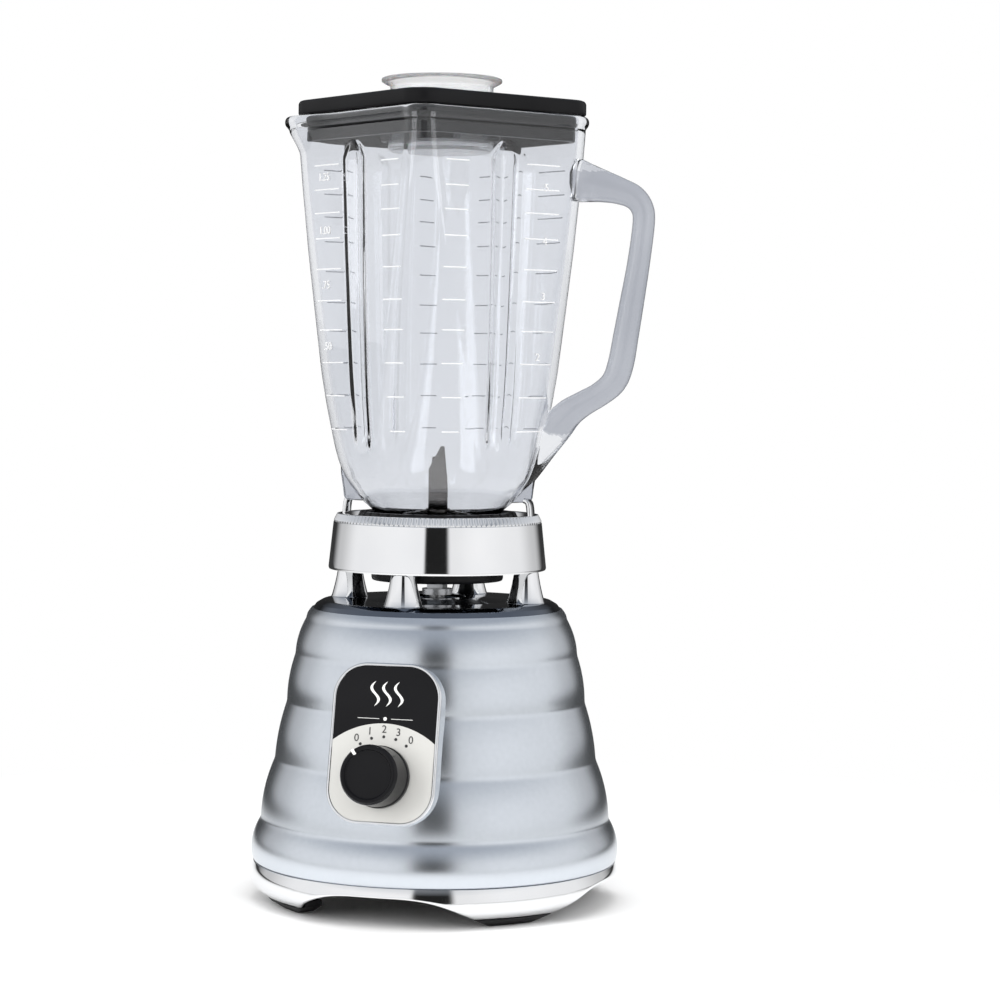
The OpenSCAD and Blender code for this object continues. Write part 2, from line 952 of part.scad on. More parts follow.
module agitator_base() {
    color([0.72, 0.73, 0.75])
        rotate_extrude()
            polygon([[6.05, plate_z - 4], [9, plate_z - 4], [9, plate_z], [33.6, plate_z],
                     [33.6, plate_z + 2], [24, plate_z + 2], [10, plate_z + 8.5], [8, plate_z + 13],
                     [6.05, plate_z + 13]]);
}

module bearing_bush() {
    color([0.7, 0.58, 0.32])
        translate([0, 0, plate_z - 4])
            tube(6, 4.05, 17);
}

// ---- Blade ----

module blade_shaft() {
    foot = cap_bottom_z + 7.7;
    step = blade_z - 5.2;
    color([0.72, 0.73, 0.75])
        rotate_extrude()
            polygon([[0, foot], [4, foot], [4, step], [3.15, step], [3.15, blade_z + 5], [0, blade_z + 5]]);
}

// One arm of the upper blade, bent up at its end into a pointed tine
module tine_arm(t) {
    out = 14;
    rise = tine_tip_z - blade_z;
    translate([0, -4.2, 0])
        cube([out, 8.4, t]);
    translate([out, 0, 0])
        rotate([90, 0, 90])
            linear_extrude(height = t)
                polygon([[-4.2, 0], [4.2, 0], [3.9, rise * 0.55], [2.2, rise], [-2.4, rise * 0.82],
                         [-4.2, rise * 0.64]]);
}

module upper_blade() {
    t = 1.6;
    color([0.55, 0.55, 0.56])
        translate([0, 0, blade_z])
            rotate([0, 0, blade_turn - 90])
                difference() {
                    union() {
                        cylinder(r = 6.2, h = t);
                        for (a = [0, 180])
                            rotate([0, 0, a])
                                tine_arm(t);
                    }
                    translate([0, 0, -1])
                        cylinder(r = 3.2, h = 5);
                }
}

module drooping_arm(t) {
    translate([5.4, 0, 0])
        rotate([0, 24, 0])
            linear_extrude(height = t)
                polygon([[0, -4.4], [11.5, -4], [18.5, -0.6], [18.5, 1.4], [14.5, 4], [0, 4.4]]);
}

module lower_blade() {
    t = 1.5;
    color([0.58, 0.58, 0.59])
        translate([0, 0, blade_z - t])
            rotate([0, 0, blade_turn])
                difference() {
                    union() {
                        cylinder(r = 6.2, h = t);
                        for (a = [0, 180])
                            rotate([0, 0, a])
                                drooping_arm(t);
                    }
                    translate([0, 0, -1])
                        cylinder(r = 3.2, h = 5);
                }
}

module blade_spacer() {
    color([0.7, 0.71, 0.72])
        translate([0, 0, blade_z - 5.2])
            tube(5, 3.2, 3.7);
}

module blade_nut() {
    color([0.6, 0.61, 0.62])
        translate([0, 0, blade_z + 1.6])
            difference() {
                union() {
                    cylinder(r = 5, h = 3.4, $fn = 6);
                    translate([0, 0, 3.4 - EPS])
                        cylinder(r1 = 4, r2 = 1.8, h = 2.4);
                }
                translate([0, 0, -1])
                    cylinder(r = 3.15, h = 4.4 + EPS);
            }
}

module drive_socket() {
    recess = 8.7;
    color([0.66, 0.67, 0.69])
        difference() {
            union() {
                translate([0, 0, cap_bottom_z - 1.2])
                    cylinder(r = 9.6, h = 9.2);
                translate([0, 0, cap_bottom_z + 7.9])
                    cylinder(r = 7, h = 2.4);
            }
            translate([-recess / 2, -recess / 2, cap_bottom_z - 3])
                cube([recess, recess, 8.6]);
            translate([0, 0, cap_bottom_z + 7.7])
                cylinder(r = 4, h = 5);
        }
}

// ---- Lid ----

module rounded_square(half, r) {
    rounded_rect(2 * half, 2 * half, r);
}

module lid() {
    z = jar_rim_z + 0.3;
    plug_z = 381.6;
    color([0.04, 0.04, 0.04])
        rotate([0, 0, jar_turn + 45])
            difference() {
                union() {
                    translate([0, 0, z])
                        linear_extrude(height = lid_t - 1)
                            rounded_square(jar_half + 0.3, 13);
                    translate([0, 0, z + lid_t - 1 - EPS])
                        linear_extrude(height = 1 + EPS)
                            rounded_square(jar_half - 0.6, 12.2);
                    translate([0, 0, plug_z])
                        linear_extrude(height = z - plug_z + 1)
                            rounded_square(jar_half - glass_t - 1, 11);
                }
                translate([0, 0, plug_z - 1])
                    linear_extrude(height = z - plug_z)
                        difference() {
                            rounded_square(jar_half - glass_t - 4, 9);
                            circle(cap_r + 3);
                        }
                translate([0, 0, plug_z - 2])
                    cylinder(r = cap_r + 0.4, h = 40);
            }
}

module filler_cap() {
    wall = 1.7;
    floor_z = 376.5;
    rim_r = cap_r + 4.3;
    color([0.9, 0.92, 0.93, 0.7])
        rotate_extrude()
            polygon([[0, floor_z], [cap_r - 1.4, floor_z], [cap_r - 0.5, floor_z + 1],
                     [cap_r, cap_top_z - 3.4], [rim_r - 0.8, cap_top_z - 2.6],
                     [rim_r, cap_top_z - 1.6], [rim_r - 0.4, cap_top_z - 0.3],
                     [rim_r - 1.4, cap_top_z], [cap_r - 0.6, cap_top_z - 1.2],
                     [cap_r - wall, cap_top_z - 3], [cap_r - wall - 0.5, floor_z + 1.8],
                     [0, floor_z + 1.8]]);
}

base_shell();
base_skirt();
cover_lugs();
foot_pads();
bottom_cover();
bottom_screws();
top_deck();
collar_posts();
collar_ring();
jar_guides();
post_screws();
control_bezel();
control_face_black();
control_face_grey();
dial_marks();
switch_body();
switch_nut();
switch_terminals();
motor_stator();
field_coils();
upper_bracket();
lower_bracket();
upper_bearing();
lower_bearing();
brush_plate();
brush_holders();
carbon_brushes();
motor_bolts();
motor_mounts();
cord_inlet();
lead_wires();
knob();
knob_marker();
switch_shaft();
motor_shaft();
rotor_core();
rotor_windings();
commutator();
cooling_fan();
drive_coupling();
shaft_slinger();
glass_jar();
jar_gasket();
bottom_cap();
agitator_base();
bearing_bush();
blade_shaft();
upper_blade();
lower_blade();
blade_spacer();
blade_nut();
drive_socket();
lid();
filler_cap();
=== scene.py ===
import json
import math

import bmesh
import bpy
import numpy as np
from mathutils import Matrix, Vector

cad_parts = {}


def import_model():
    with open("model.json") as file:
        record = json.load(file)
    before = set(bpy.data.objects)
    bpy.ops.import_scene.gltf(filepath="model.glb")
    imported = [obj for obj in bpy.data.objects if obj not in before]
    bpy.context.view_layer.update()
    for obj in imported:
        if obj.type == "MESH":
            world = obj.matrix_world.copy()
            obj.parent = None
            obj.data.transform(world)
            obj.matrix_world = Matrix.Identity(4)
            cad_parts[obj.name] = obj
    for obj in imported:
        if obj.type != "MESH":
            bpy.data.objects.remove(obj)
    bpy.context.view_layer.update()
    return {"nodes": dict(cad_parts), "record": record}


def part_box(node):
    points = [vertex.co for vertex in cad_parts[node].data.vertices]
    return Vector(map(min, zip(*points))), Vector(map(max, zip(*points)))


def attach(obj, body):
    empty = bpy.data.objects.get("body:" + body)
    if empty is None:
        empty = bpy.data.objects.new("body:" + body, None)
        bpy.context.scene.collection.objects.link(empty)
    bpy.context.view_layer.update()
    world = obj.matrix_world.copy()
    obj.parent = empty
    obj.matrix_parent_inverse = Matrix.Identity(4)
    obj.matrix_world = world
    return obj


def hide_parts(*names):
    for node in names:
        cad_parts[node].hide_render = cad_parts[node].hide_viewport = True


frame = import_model()
MM = 0.001

# The jar stands turned on the base, and the camera looks from the front right.
JAR_TURN = math.radians(10)
CAMERA_AZIMUTH = math.radians(18)
TOWARD_CAMERA = (math.sin(CAMERA_AZIMUTH), -math.cos(CAMERA_AZIMUTH), 0)
RIGHT_OF_CAMERA = (math.cos(CAMERA_AZIMUTH), math.sin(CAMERA_AZIMUTH), 0)

# Box corners and heights that several pieces share, in millimetres, from the frame.
SHELL_LOW, SHELL_HIGH = (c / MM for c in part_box("base_shell"))
RING_LOW, RING_HIGH = (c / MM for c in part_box("collar_ring"))
JAR_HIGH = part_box("glass_jar")[1] / MM
CAP_LOW, CAP_HIGH = (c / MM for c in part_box("bottom_cap"))
LID_LOW, LID_HIGH = (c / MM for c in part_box("lid"))
FILLER_LOW, FILLER_HIGH = (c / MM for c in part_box("filler_cap"))
DECK_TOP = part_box("collar_posts")[0].z / MM
SKIRT_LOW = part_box("base_skirt")[0].z / MM
POST_TURN = math.radians(-2.4)
POST_REACH = 47.5


# ---- Materials ----

class Nodes:
    """A material's node tree, with short calls to add to it."""

    def __init__(self, name):
        self.material = bpy.data.materials.new(name)
        self.material.use_nodes = True
        self.tree = self.material.node_tree
        self.shader = self.tree.nodes["Principled BSDF"]
        self.coords = self.tree.nodes.new("ShaderNodeTexCoord")

    def add(self, kind, **settings):
        node = self.tree.nodes.new(kind)
        for key, value in settings.items():
            if hasattr(node, key):
                setattr(node, key, value)
            else:
                node.inputs[key.replace("_", " ")].default_value = value
        return node

    def link(self, source, output, target, socket):
        self.tree.links.new(source.outputs[output], target.inputs[socket])

    def set(self, **values):
        for key, value in values.items():
            self.shader.inputs[key.replace("_", " ")].default_value = value

    def mapped(self, scale):
        mapping = self.add("ShaderNodeMapping", Scale=scale)
        self.link(self.coords, "Object", mapping, "Vector")
        return mapping

    def noise(self, scale, detail=3.0, stretch=(1, 1, 1)):
        node = self.add("ShaderNodeTexNoise", Scale=scale, Detail=detail)
        self.link(self.mapped(stretch), "Vector", node, "Vector")
        return node

    def remap(self, source, output, low, high):
        node = self.add("ShaderNodeMapRange", From_Min=0.3, From_Max=0.7, To_Min=low, To_Max=high)
        self.link(source, output, node, "Value")
        return node

    def rough(self, source, low, high):
        self.link(self.remap(source, "Fac", low, high), "Result", self.shader, "Roughness")

    def tint(self, source, dark, light):
        ramp = self.add("ShaderNodeValToRGB")
        ramp.color_ramp.elements[0].position = 0.3
        ramp.color_ramp.elements[0].color = (*dark, 1)
        ramp.color_ramp.elements[1].position = 0.7
        ramp.color_ramp.elements[1].color = (*light, 1)
        self.link(source, "Fac", ramp, "Fac")
        self.link(ramp, "Color", self.shader, "Base Color")

    def bump(self, source, output, distance, strength=1.0):
        node = self.add("ShaderNodeBump", Strength=strength, Distance=distance)
        self.link(source, output, node, "Height")
        self.link(node, "Normal", self.shader, "Normal")


def satin_chrome():
    """Plated sheet with a fine, even grain and no brushed lines."""
    m = Nodes("satin_chrome")
    grain = m.noise(420, 4)
    m.tint(grain, (0.655, 0.695, 0.745), (0.675, 0.715, 0.765))
    m.rough(m.noise(22, 2), 0.22, 0.255)
    m.bump(grain, "Fac", 0.000003)
    m.set(Metallic=1.0)
    return m.material


def mirror_chrome():
    m = Nodes("mirror_chrome")
    haze = m.noise(30, 4)
    m.tint(haze, (0.83, 0.84, 0.855), (0.88, 0.885, 0.89))
    m.rough(haze, 0.035, 0.07)
    m.bump(m.noise(9, 1), "Fac", 0.00012, 0.3)
    m.set(Metallic=1.0)
    return m.material


def dark_chrome():
    m = Nodes("dark_chrome")
    haze = m.noise(25, 4)
    m.tint(haze, (0.15, 0.17, 0.205), (0.18, 0.205, 0.245))
    m.rough(haze, 0.05, 0.09)
    m.bump(m.noise(12, 1), "Fac", 0.00012, 0.3)
    m.set(Metallic=1.0)
    return m.material


def moulded(name, dark, light, rough, scale=900, depth=0.00003, coat=0.0, shine=0.5):
    """Moulded plastic or rubber: a fine grain, and wide, faint changes of tone and gloss."""
    m = Nodes(name)
    m.tint(m.noise(18, 3), dark, light)
    m.rough(m.noise(40, 3), rough * 0.88, rough * 1.12)
    m.bump(m.noise(scale, 2), "Fac", depth, 0.6)
    m.set(Coat_Weight=coat, Coat_Roughness=0.12, Specular_IOR_Level=shine)
    return m.material


def metal(name, dark, light, rough, grain=(1, 1, 1), scale=80):
    m = Nodes(name)
    lines = m.noise(scale, 4, grain)
    m.tint(lines, dark, light)
    m.rough(lines, rough * 0.8, rough * 1.25)
    m.bump(lines, "Fac", 0.00004, 0.5)
    m.set(Metallic=1.0)
    return m.material


def clear_glass():
    m = Nodes("clear_glass")
    ripple = m.noise(14, 2)
    m.tint(ripple, (0.815, 0.83, 0.86), (0.835, 0.85, 0.88))
    m.rough(m.noise(50, 2), 0.0, 0.015)
    m.bump(ripple, "Fac", 0.0006, 0.35)
    m.set(Transmission_Weight=1.0, IOR=1.5)
    return m.material


def handle_glass():
    """The handle's moulded glass, greyer and a little frosted."""
    m = Nodes("handle_glass")
    cloud = m.noise(20, 3)
    m.tint(cloud, (0.42, 0.44, 0.49), (0.50, 0.52, 0.57))
    m.rough(m.noise(60, 2), 0.16, 0.24)
    m.bump(cloud, "Fac", 0.0004, 0.35)
    m.set(Transmission_Weight=1.0, IOR=1.5)
    return m.material


def frosted_glass():
    m = Nodes("frosted_glass")
    grain = m.noise(900, 2)
    m.tint(grain, (0.96, 0.965, 0.975), (0.985, 0.99, 0.995))
    m.rough(grain, 0.3, 0.45)
    m.bump(grain, "Fac", 0.00002, 0.5)
    m.set(Transmission_Weight=0.3, IOR=1.4)
    return m.material


def milky_plastic():
    m = Nodes("milky_plastic")
    cloud = m.noise(24, 3)
    m.tint(cloud, (0.97, 0.975, 0.985), (0.99, 0.992, 0.996))
    m.rough(m.noise(60, 2), 0.14, 0.22)
    m.bump(cloud, "Fac", 0.0001, 0.3)
    m.set(Transmission_Weight=0.82, IOR=1.33, Subsurface_Weight=0.1)
    return m.material


MATERIALS = {
    "satin_chrome": satin_chrome(),
    "mirror_chrome": mirror_chrome(),
    "dark_chrome": dark_chrome(),
    "glass": clear_glass(),
    "handle_glass": handle_glass(),
    "frosted": frosted_glass(),
    "cap_plastic": milky_plastic(),
    "black_rubber": moulded("black_rubber", (0.010, 0.010, 0.011), (0.018, 0.018, 0.019), 0.62,
                            shine=0.25),
    "black_plastic": moulded("black_plastic", (0.006, 0.006, 0.007), (0.012, 0.012, 0.013), 0.4,
                             shine=0.2),
    "gloss_black": moulded("gloss_black", (0.004, 0.004, 0.005), (0.007, 0.007, 0.008), 0.22, 500, 0.000008,
                           shine=0.14),
    "lid_plastic": moulded("lid_plastic", (0.004, 0.004, 0.0045), (0.008, 0.008, 0.009), 0.36, 1400, 0.000006,
                           shine=0.14),
    "grey_plastic": moulded("grey_plastic", (0.56, 0.555, 0.53), (0.60, 0.595, 0.57), 0.36),
    "white_mark": moulded("white_mark", (0.80, 0.80, 0.78), (0.86, 0.86, 0.84), 0.5),
    "dark_mark": moulded("dark_mark", (0.02, 0.02, 0.021), (0.035, 0.035, 0.036), 0.5),
    "gasket": moulded("gasket", (0.50, 0.48, 0.45), (0.58, 0.56, 0.53), 0.6),
    "laminate": moulded("laminate", (0.16, 0.07, 0.03), (0.24, 0.11, 0.05), 0.45, 200),
    "carbon": moulded("carbon", (0.02, 0.02, 0.022), (0.045, 0.045, 0.048), 0.5, 700),
    "wire": moulded("wire", (0.40, 0.02, 0.015), (0.50, 0.03, 0.02), 0.35),
    "silver_plastic": metal("silver_rim", (0.74, 0.75, 0.77), (0.82, 0.83, 0.84), 0.16),
    "zinc_steel": metal("zinc_steel", (0.50, 0.51, 0.53), (0.64, 0.65, 0.66), 0.3),
    "stack_steel": metal("stack_steel", (0.16, 0.165, 0.175), (0.30, 0.31, 0.32), 0.45, (1, 1, 60)),
    "copper": metal("copper", (0.55, 0.24, 0.10), (0.70, 0.34, 0.17), 0.3, (1, 1, 30)),
    "bronze": metal("bronze", (0.42, 0.31, 0.15), (0.55, 0.42, 0.22), 0.45, (1, 1, 1), 300),
    "brass": metal("brass", (0.62, 0.47, 0.20), (0.72, 0.56, 0.26), 0.25),
    "blade_steel": metal("blade_steel", (0.17, 0.16, 0.155), (0.30, 0.285, 0.27), 0.2, (1, 1, 18), 120),
}


# ---- Mesh helpers. Points are in millimetres and become metres here. ----

def new_object(name, points, faces):
    """A mesh object from points in millimetres, with its faces turned outward."""
    mesh = bpy.data.meshes.new(name)
    scaled = [tuple(float(c) * MM for c in p) for p in points]
    mesh.from_pydata(scaled, [], [list(map(int, f)) for f in faces])
    mesh.validate()
    bm = bmesh.new()
    bm.from_mesh(mesh)
    bmesh.ops.recalc_face_normals(bm, faces=bm.faces)
    bm.to_mesh(mesh)
    bm.free()
    obj = bpy.data.objects.new(name, mesh)
    bpy.context.scene.collection.objects.link(obj)
    return obj


def piece(name, points, faces, body, slot, replaces=(), material=None, sharp=32, turn=0.0):
    """A shaded mesh object that rides on a CAD body and may stand for CAD nodes."""
    obj = new_object(name, points, faces)
    if turn:
        obj.data.transform(Matrix.Rotation(turn, 4, "Z"))
    smooth(obj, sharp)
    return dress(obj, body, slot, replaces, material)


def smooth(obj, sharp):
    """Smooth shading with hard edges past the given angle."""
    obj.data.polygons.foreach_set("use_smooth", [True] * len(obj.data.polygons))
    bm = bmesh.new()
    bm.from_mesh(obj.data)
    limit = math.radians(sharp)
    for edge in bm.edges:
        edge.smooth = len(edge.link_faces) == 2 and edge.calc_face_angle(0) < limit
    bm.to_mesh(obj.data)
    bm.free()


def dress(obj, body, slot, replaces=(), material=None):
    obj.data.materials.clear()
    obj.data.materials.append(MATERIALS[material or slot])
    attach(obj, body)
    if replaces:
        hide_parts(*replaces)
    return obj


def round_corners(corners, steps=5):
    """A closed outline from (x, y, radius) corners: each corner becomes an arc of its radius."""
    outline = []
    count = len(corners)
    for i, (x, y, radius) in enumerate(corners):
        here = np.array([x, y], float)
        before = np.array(corners[i - 1][:2], float) - here
        after = np.array(corners[(i + 1) % count][:2], float) - here
        before_len, after_len = np.linalg.norm(before), np.linalg.norm(after)
        if radius <= 0 or before_len < 1e-6 or after_len < 1e-6:
            outline.append((x, y))
            continue
        before, after = before / before_len, after / after_len
        angle = math.acos(max(-1.0, min(1.0, float(before @ after))))
        if angle > math.pi - 0.02:
            outline.append((x, y))
            continue
        cut = min(radius / math.tan(angle / 2), before_len * 0.48, after_len * 0.48)
        start, end = here + before * cut, here + after * cut
        for k in range(steps + 1):
            t = k / steps
            p = start * (1 - t) ** 2 + here * 2 * t * (1 - t) + end * t ** 2
            outline.append((float(p[0]), float(p[1])))
    return outline


def loop_faces(rings, per_ring, closed_rings):
    """Quads between rings of points; closed_rings also joins the last ring to the first."""
    faces = []
    for a in range(rings if closed_rings else rings - 1):
        b = (a + 1) % rings
        for i in range(per_ring):
            j = (i + 1) % per_ring
            faces.append((a * per_ring + i, a * per_ring + j, b * per_ring + j, b * per_ring + i))
    return faces


def capped_faces(points, per_ring):
    """Faces of a run of rings, with one more face over each end."""
    count = len(points)
    faces = loop_faces(count // per_ring, per_ring, False)
    return faces + [tuple(range(per_ring)), tuple(range(count - per_ring, count))]


def side_of(line, i):
    """Unit vector square to a line of (x, z) points at its point i."""
    before, after = line[max(0, i - 1)], line[min(len(line) - 1, i + 1)]
    along = np.array([after[0] - before[0], after[1] - before[1]], float)
    along /= np.linalg.norm(along)
    return np.array([along[1], -along[0]])


def lathe(profile, segments=192, shape=None, centre=(0.0, 0.0)):
    """A closed (radius, z) outline turned about Z. shape(angle, radius, z) may change each point."""
    angles = np.linspace(0, 2 * math.pi, segments, endpoint=False)
    points = []
    for radius, z in profile:
        for angle in angles:
            r, height = (radius, z) if shape is None else shape(angle, radius, z)
            points.append((centre[0] + r * math.cos(angle), centre[1] + r * math.sin(angle), height))
    return points, loop_faces(len(profile), segments, True)


def joined(parts):
    """Several (points, faces) as one."""
    points, faces = [], []
    for part_points, part_faces in parts:
        start = len(points)
        points += list(part_points)
        faces += [tuple(i + start for i in f) for f in part_faces]
    return points, faces


def prism(outline, bottom, top, bevel=0.0, steps=3):
    """An outline in XY, standing from bottom to top, with its top edge rounded by bevel."""
    base = np.array(outline, float)
    centre = base.mean(axis=0)
    size = np.abs(base - centre).max(axis=0)
    levels = [(bottom, 0.0)]
    if bevel:
        levels += [(top - bevel + bevel * math.sin(a), bevel * (1 - math.cos(a)))
                   for a in np.linspace(0, math.pi / 2, steps + 1)]
    else:
        levels.append((top, 0.0))
    points = []
    for z, inset in levels:
        scale = (size - inset) / size
        points += [(*(centre + (p - centre) * scale), z) for p in base]
    n = len(base)
    faces = loop_faces(len(levels), n, False)
    faces.append(tuple(range(n - 1, -1, -1)))
    faces.append(tuple(range((len(levels) - 1) * n, len(levels) * n)))
    return points, faces


def rounded_rect(width, height, radius, steps=10):
    points = []
    for k, (sx, sy) in enumerate([(1, 1), (-1, 1), (-1, -1), (1, -1)]):
        for a in np.linspace(0, math.pi / 2, steps + 1):
            angle = a + k * math.pi / 2
            points.append((sx * (width / 2 - radius) + radius * math.cos(angle),
                           sy * (height / 2 - radius) + radius * math.sin(angle)))
    return points


def placed(points, matrix):
    return [tuple(matrix @ Vector(p)) for p in points]


def text_mesh(text, size, depth):
    """Points and faces of a line of text, centred, lying in XY, size and depth in millimetres."""
    curve = bpy.data.curves.new("text", "FONT")
    curve.body = text
    curve.size = size
    curve.extrude = depth / 2
    curve.align_x = "CENTER"
    curve.align_y = "CENTER"
    curve.resolution_u = 4
    obj = bpy.data.objects.new("text", curve)
    mesh = bpy.data.meshes.new_from_object(obj)
    points = [tuple(v.co) for v in mesh.vertices]
    faces = [tuple(p.vertices) for p in mesh.polygons]
    bpy.data.objects.remove(obj)
    bpy.data.meshes.remove(mesh)
    return points, faces


# ---- Base ----

RIB_HEIGHTS = [20.7, 30, 29, 24, 18]
RIB_RADII = [91.8, 88.1, 81.2, 75.3, 71.2, 65.9]
RIB_BULGES = [2.4, 1.6, 1.0, 1.05, 1.2]


def rib_curve(step=0.75, soften=2.2):
    """The ribbed body's outline, with its valleys rounded a little."""
    marks = SHELL_LOW.z + np.concatenate([[0], np.cumsum(RIB_HEIGHTS)])
    z = np.arange(marks[0], marks[-1] + step / 2, step)
    line = np.interp(z, marks, RIB_RADII)
    index = np.clip(np.searchsorted(marks, z, side="right") - 1, 0, len(RIB_HEIGHTS) - 1)
    t = (z - marks[index]) / np.array(RIB_HEIGHTS)[index]
    radius = line + 4 * np.array(RIB_BULGES)[index] * t * (1 - t)
    half = max(1, int(soften / step))
    kernel = np.hanning(2 * half + 3)[1:-1]
    before = 2 * radius[0] - radius[half:0:-1]
    after = 2 * radius[-1] - radius[-2:-half - 2:-1]
    padded = np.concatenate([before, radius, after])
    return z, np.convolve(padded, kernel / kernel.sum(), mode="valid")


def body_shell():
    z, radius = rib_curve()
    outer = list(zip(radius, z))
    outer[0] = (outer[0][0] - 0.5, outer[0][1])
    outer += [(65.75, SHELL_HIGH.z + 1), (65.3, SHELL_HIGH.z + 2.4), (64.3, SHELL_HIGH.z + 4),
              (63.3, SHELL_HIGH.z + 5.2)]
    inner = [(r - 1.2, h) for r, h in reversed(outer)]
    return piece("body_shell", *lathe(outer + inner, 288), "base", "satin_chrome", ["base_shell"])


ARCH_TOP, LOBE_DROP = 15.3, 17.7
SKIRT_RADIUS, WIDEST_Z = 93.4, 11.5
FOOT_RADIUS, FOOT_TAPER = 86.7, 4.2


def skirt_edge(angle):
    """Height of the wavy lower edge: arches facing the four sides, lobes on the diagonals."""
    lobe = (1 - math.cos(4 * angle)) / 2
    return ARCH_TOP - LOBE_DROP * lobe ** 1.9


def skirt_radius(z):
    """Barrel outline of the skirt, drawn in toward its lower edge."""
    if z < WIDEST_Z:
        return SKIRT_RADIUS - 6.6 * ((WIDEST_Z - z) / 7.3) ** 2
    return SKIRT_RADIUS - 1.7 * ((z - WIDEST_Z) / 8.8) ** 2


def skirt():
    """Chrome skirt: a barrel whose rolled lower edge follows the arches and lobes."""
    top = SHELL_LOW.z
    outline = [(0, 1.6), (0.01, 0.6), (0.05, 0.1)]
    outline += [(t, 0) for t in (0.12, 0.25, 0.4, 0.55, 0.7, 0.85, 0.97)]
    outline += [(1, 0.9), (1, 3), (0.5, 3), (0.02, 2.8)]

    def shape(angle, index, _):
        t, inset = outline[int(index)]
        low = max(SKIRT_LOW, skirt_edge(angle))
        z = low + (top - low) * t
        return skirt_radius(z) - inset, z

    profile = [(i, 0) for i in range(len(outline))]
    return piece("skirt", *lathe(profile, 384, shape), "base", "mirror_chrome", ["base_skirt"])


def foot_reach(z):
    """Radius of a foot's outer side, which draws in toward the ground."""
    return FOOT_RADIUS - FOOT_TAPER * ((SKIRT_LOW - z) / SKIRT_LOW) ** 1.6


def foot_pads():
    """Four rubber feet that carry the lobes on down to the ground."""
    parts = []
    half_angle = math.radians(14)
    for quarter in range(4):
        middle = math.pi / 4 + quarter * math.pi / 2
        points = []
        for angle in middle + np.linspace(-half_angle, half_angle, 41):
            low = min(SKIRT_LOW - 0.05, max(0.0, skirt_edge(angle)))
            reach, knee = foot_reach(low), (low + SKIRT_LOW) / 2
            section = [(73, low), (reach - 1.2, low), (reach, low + 0.35 * (SKIRT_LOW - low)),
                       (foot_reach(knee), knee + 0.3), (FOOT_RADIUS, SKIRT_LOW),
                       (83.3, SKIRT_LOW + 0.1), (83.3, 6.9), (73, 6.9)]
            points += [(r * math.cos(angle), r * math.sin(angle), z) for r, z in section]
        parts.append((points, capped_faces(points, len(section))))
    return piece("feet", *joined(parts), "base", "black_rubber", ["foot_pads"], sharp=40)


def deck():
    """Dark deck with a sloped edge and a low boss round the motor shaft."""
    low, top = SHELL_HIGH.z, DECK_TOP
    outline = round_corners([
        (64.5, low + 0.3, 0.4), (64.0, low + 3.2, 0.5), (60.9, top - 1.9, 2.0), (57.6, top, 2.5),
        (36, top + 0.1, 8), (21, top + 1.7, 6), (14.5, top + 1.9, 1.2), (13.1, top + 0.6, 0.8),
        (13.1, top - 0.6, 0.3), (56, top - 2.2, 2), (60, low + 4.5, 1), (62.4, low + 1.5, 0.5),
        (62.7, low - 4, 0.3), (64.4, low - 4, 0.3), (64.4, low, 0.2)])
    return piece("deck", *lathe(outline, 256), "base", "dark_chrome", ["top_deck"])


def posts():
    """Four conical posts, wider where they stand on the deck."""
    foot, top = DECK_TOP, RING_LOW.z + 0.2
    profile = [(0.01, foot - 0.2), (9.5, foot - 0.2), (9.6, foot + 0.3), (9.25, foot + 1.0),
               (8.6, foot + 3.2), (7.9, foot + 6), (7.2, foot + 9), (6.55, foot + 12.5),
               (6.0, top), (0.01, top)]
    parts = []
    for k in range(4):
        angle = POST_TURN + k * math.pi / 2
        centre = (POST_REACH * math.cos(angle), POST_REACH * math.sin(angle))
        parts.append(lathe(profile, 64, None, centre))
    return piece("posts", *joined(parts), "base", "mirror_chrome", ["collar_posts"])


def collar():
    """The ring: a cone with soft edges, and a bevel on top cut into fine teeth."""
    low, top = RING_LOW.z, RING_HIGH.z
    outline = round_corners([
        (54.6, low, 0.8), (55.0, low + 1.2, 0.8), (52.6, top - 4.3, 0.6), (52.2, top - 4.1, 0.1)], 3)
    teeth = [(52.05, top - 3.7), (51.25, top - 2.1), (50.4, top - 0.5)]
    inside = round_corners([
        (50.0, top, 0.2), (46.9, top, 0.8), (46.0, top - 2, 0.5), (44.2, low + 4.5, 1.0),
        (37, low + 4.5, 0.5), (36.6, low + 3.6, 0.3), (36.6, low + 1.2, 0.6), (38, low, 0.6)], 3)
    profile = outline + teeth + inside
    tooth_rows = {round(r, 3) for r, _ in teeth}
    tooth_count = 120

    def shape(angle, radius, z):
        if round(radius, 3) not in tooth_rows:
            return radius, z
        wave = 1 - abs((angle * tooth_count / math.tau) % 1.0 * 2 - 1) ** 1.5
        return radius + 0.55 * (wave - 0.3), z + 0.55 * (wave - 0.3)

    return piece("collar", *lathe(profile, 960, shape), "base", "mirror_chrome", ["collar_ring"], sharp=24)


def prongs():
    """Two bent strips that keep the jar from turning."""
    top = RING_HIGH.z
    centre = [(48.9, top - 0.4), (48.7, top + 2.4), (48.4, top + 4.8), (48.0, top + 6.2), (47.1, top + 7.2),
              (45.9, top + 7.5)]
    parts = []
    for side in (0, math.pi):
        points = []
        for i, (x, z) in enumerate(centre):
            across = side_of(centre, i)
            points += [(x + across[0] * w, y, z + across[1] * w) for y, w in rounded_rect(7.6, 2.5, 0.9, 4)]
        faces = capped_faces(points, len(points) // len(centre))
        parts.append((placed(points, Matrix.Rotation(side, 4, "Z")), faces))
    return piece("prongs", *joined(parts), "base", "mirror_chrome", ["jar_guides"])


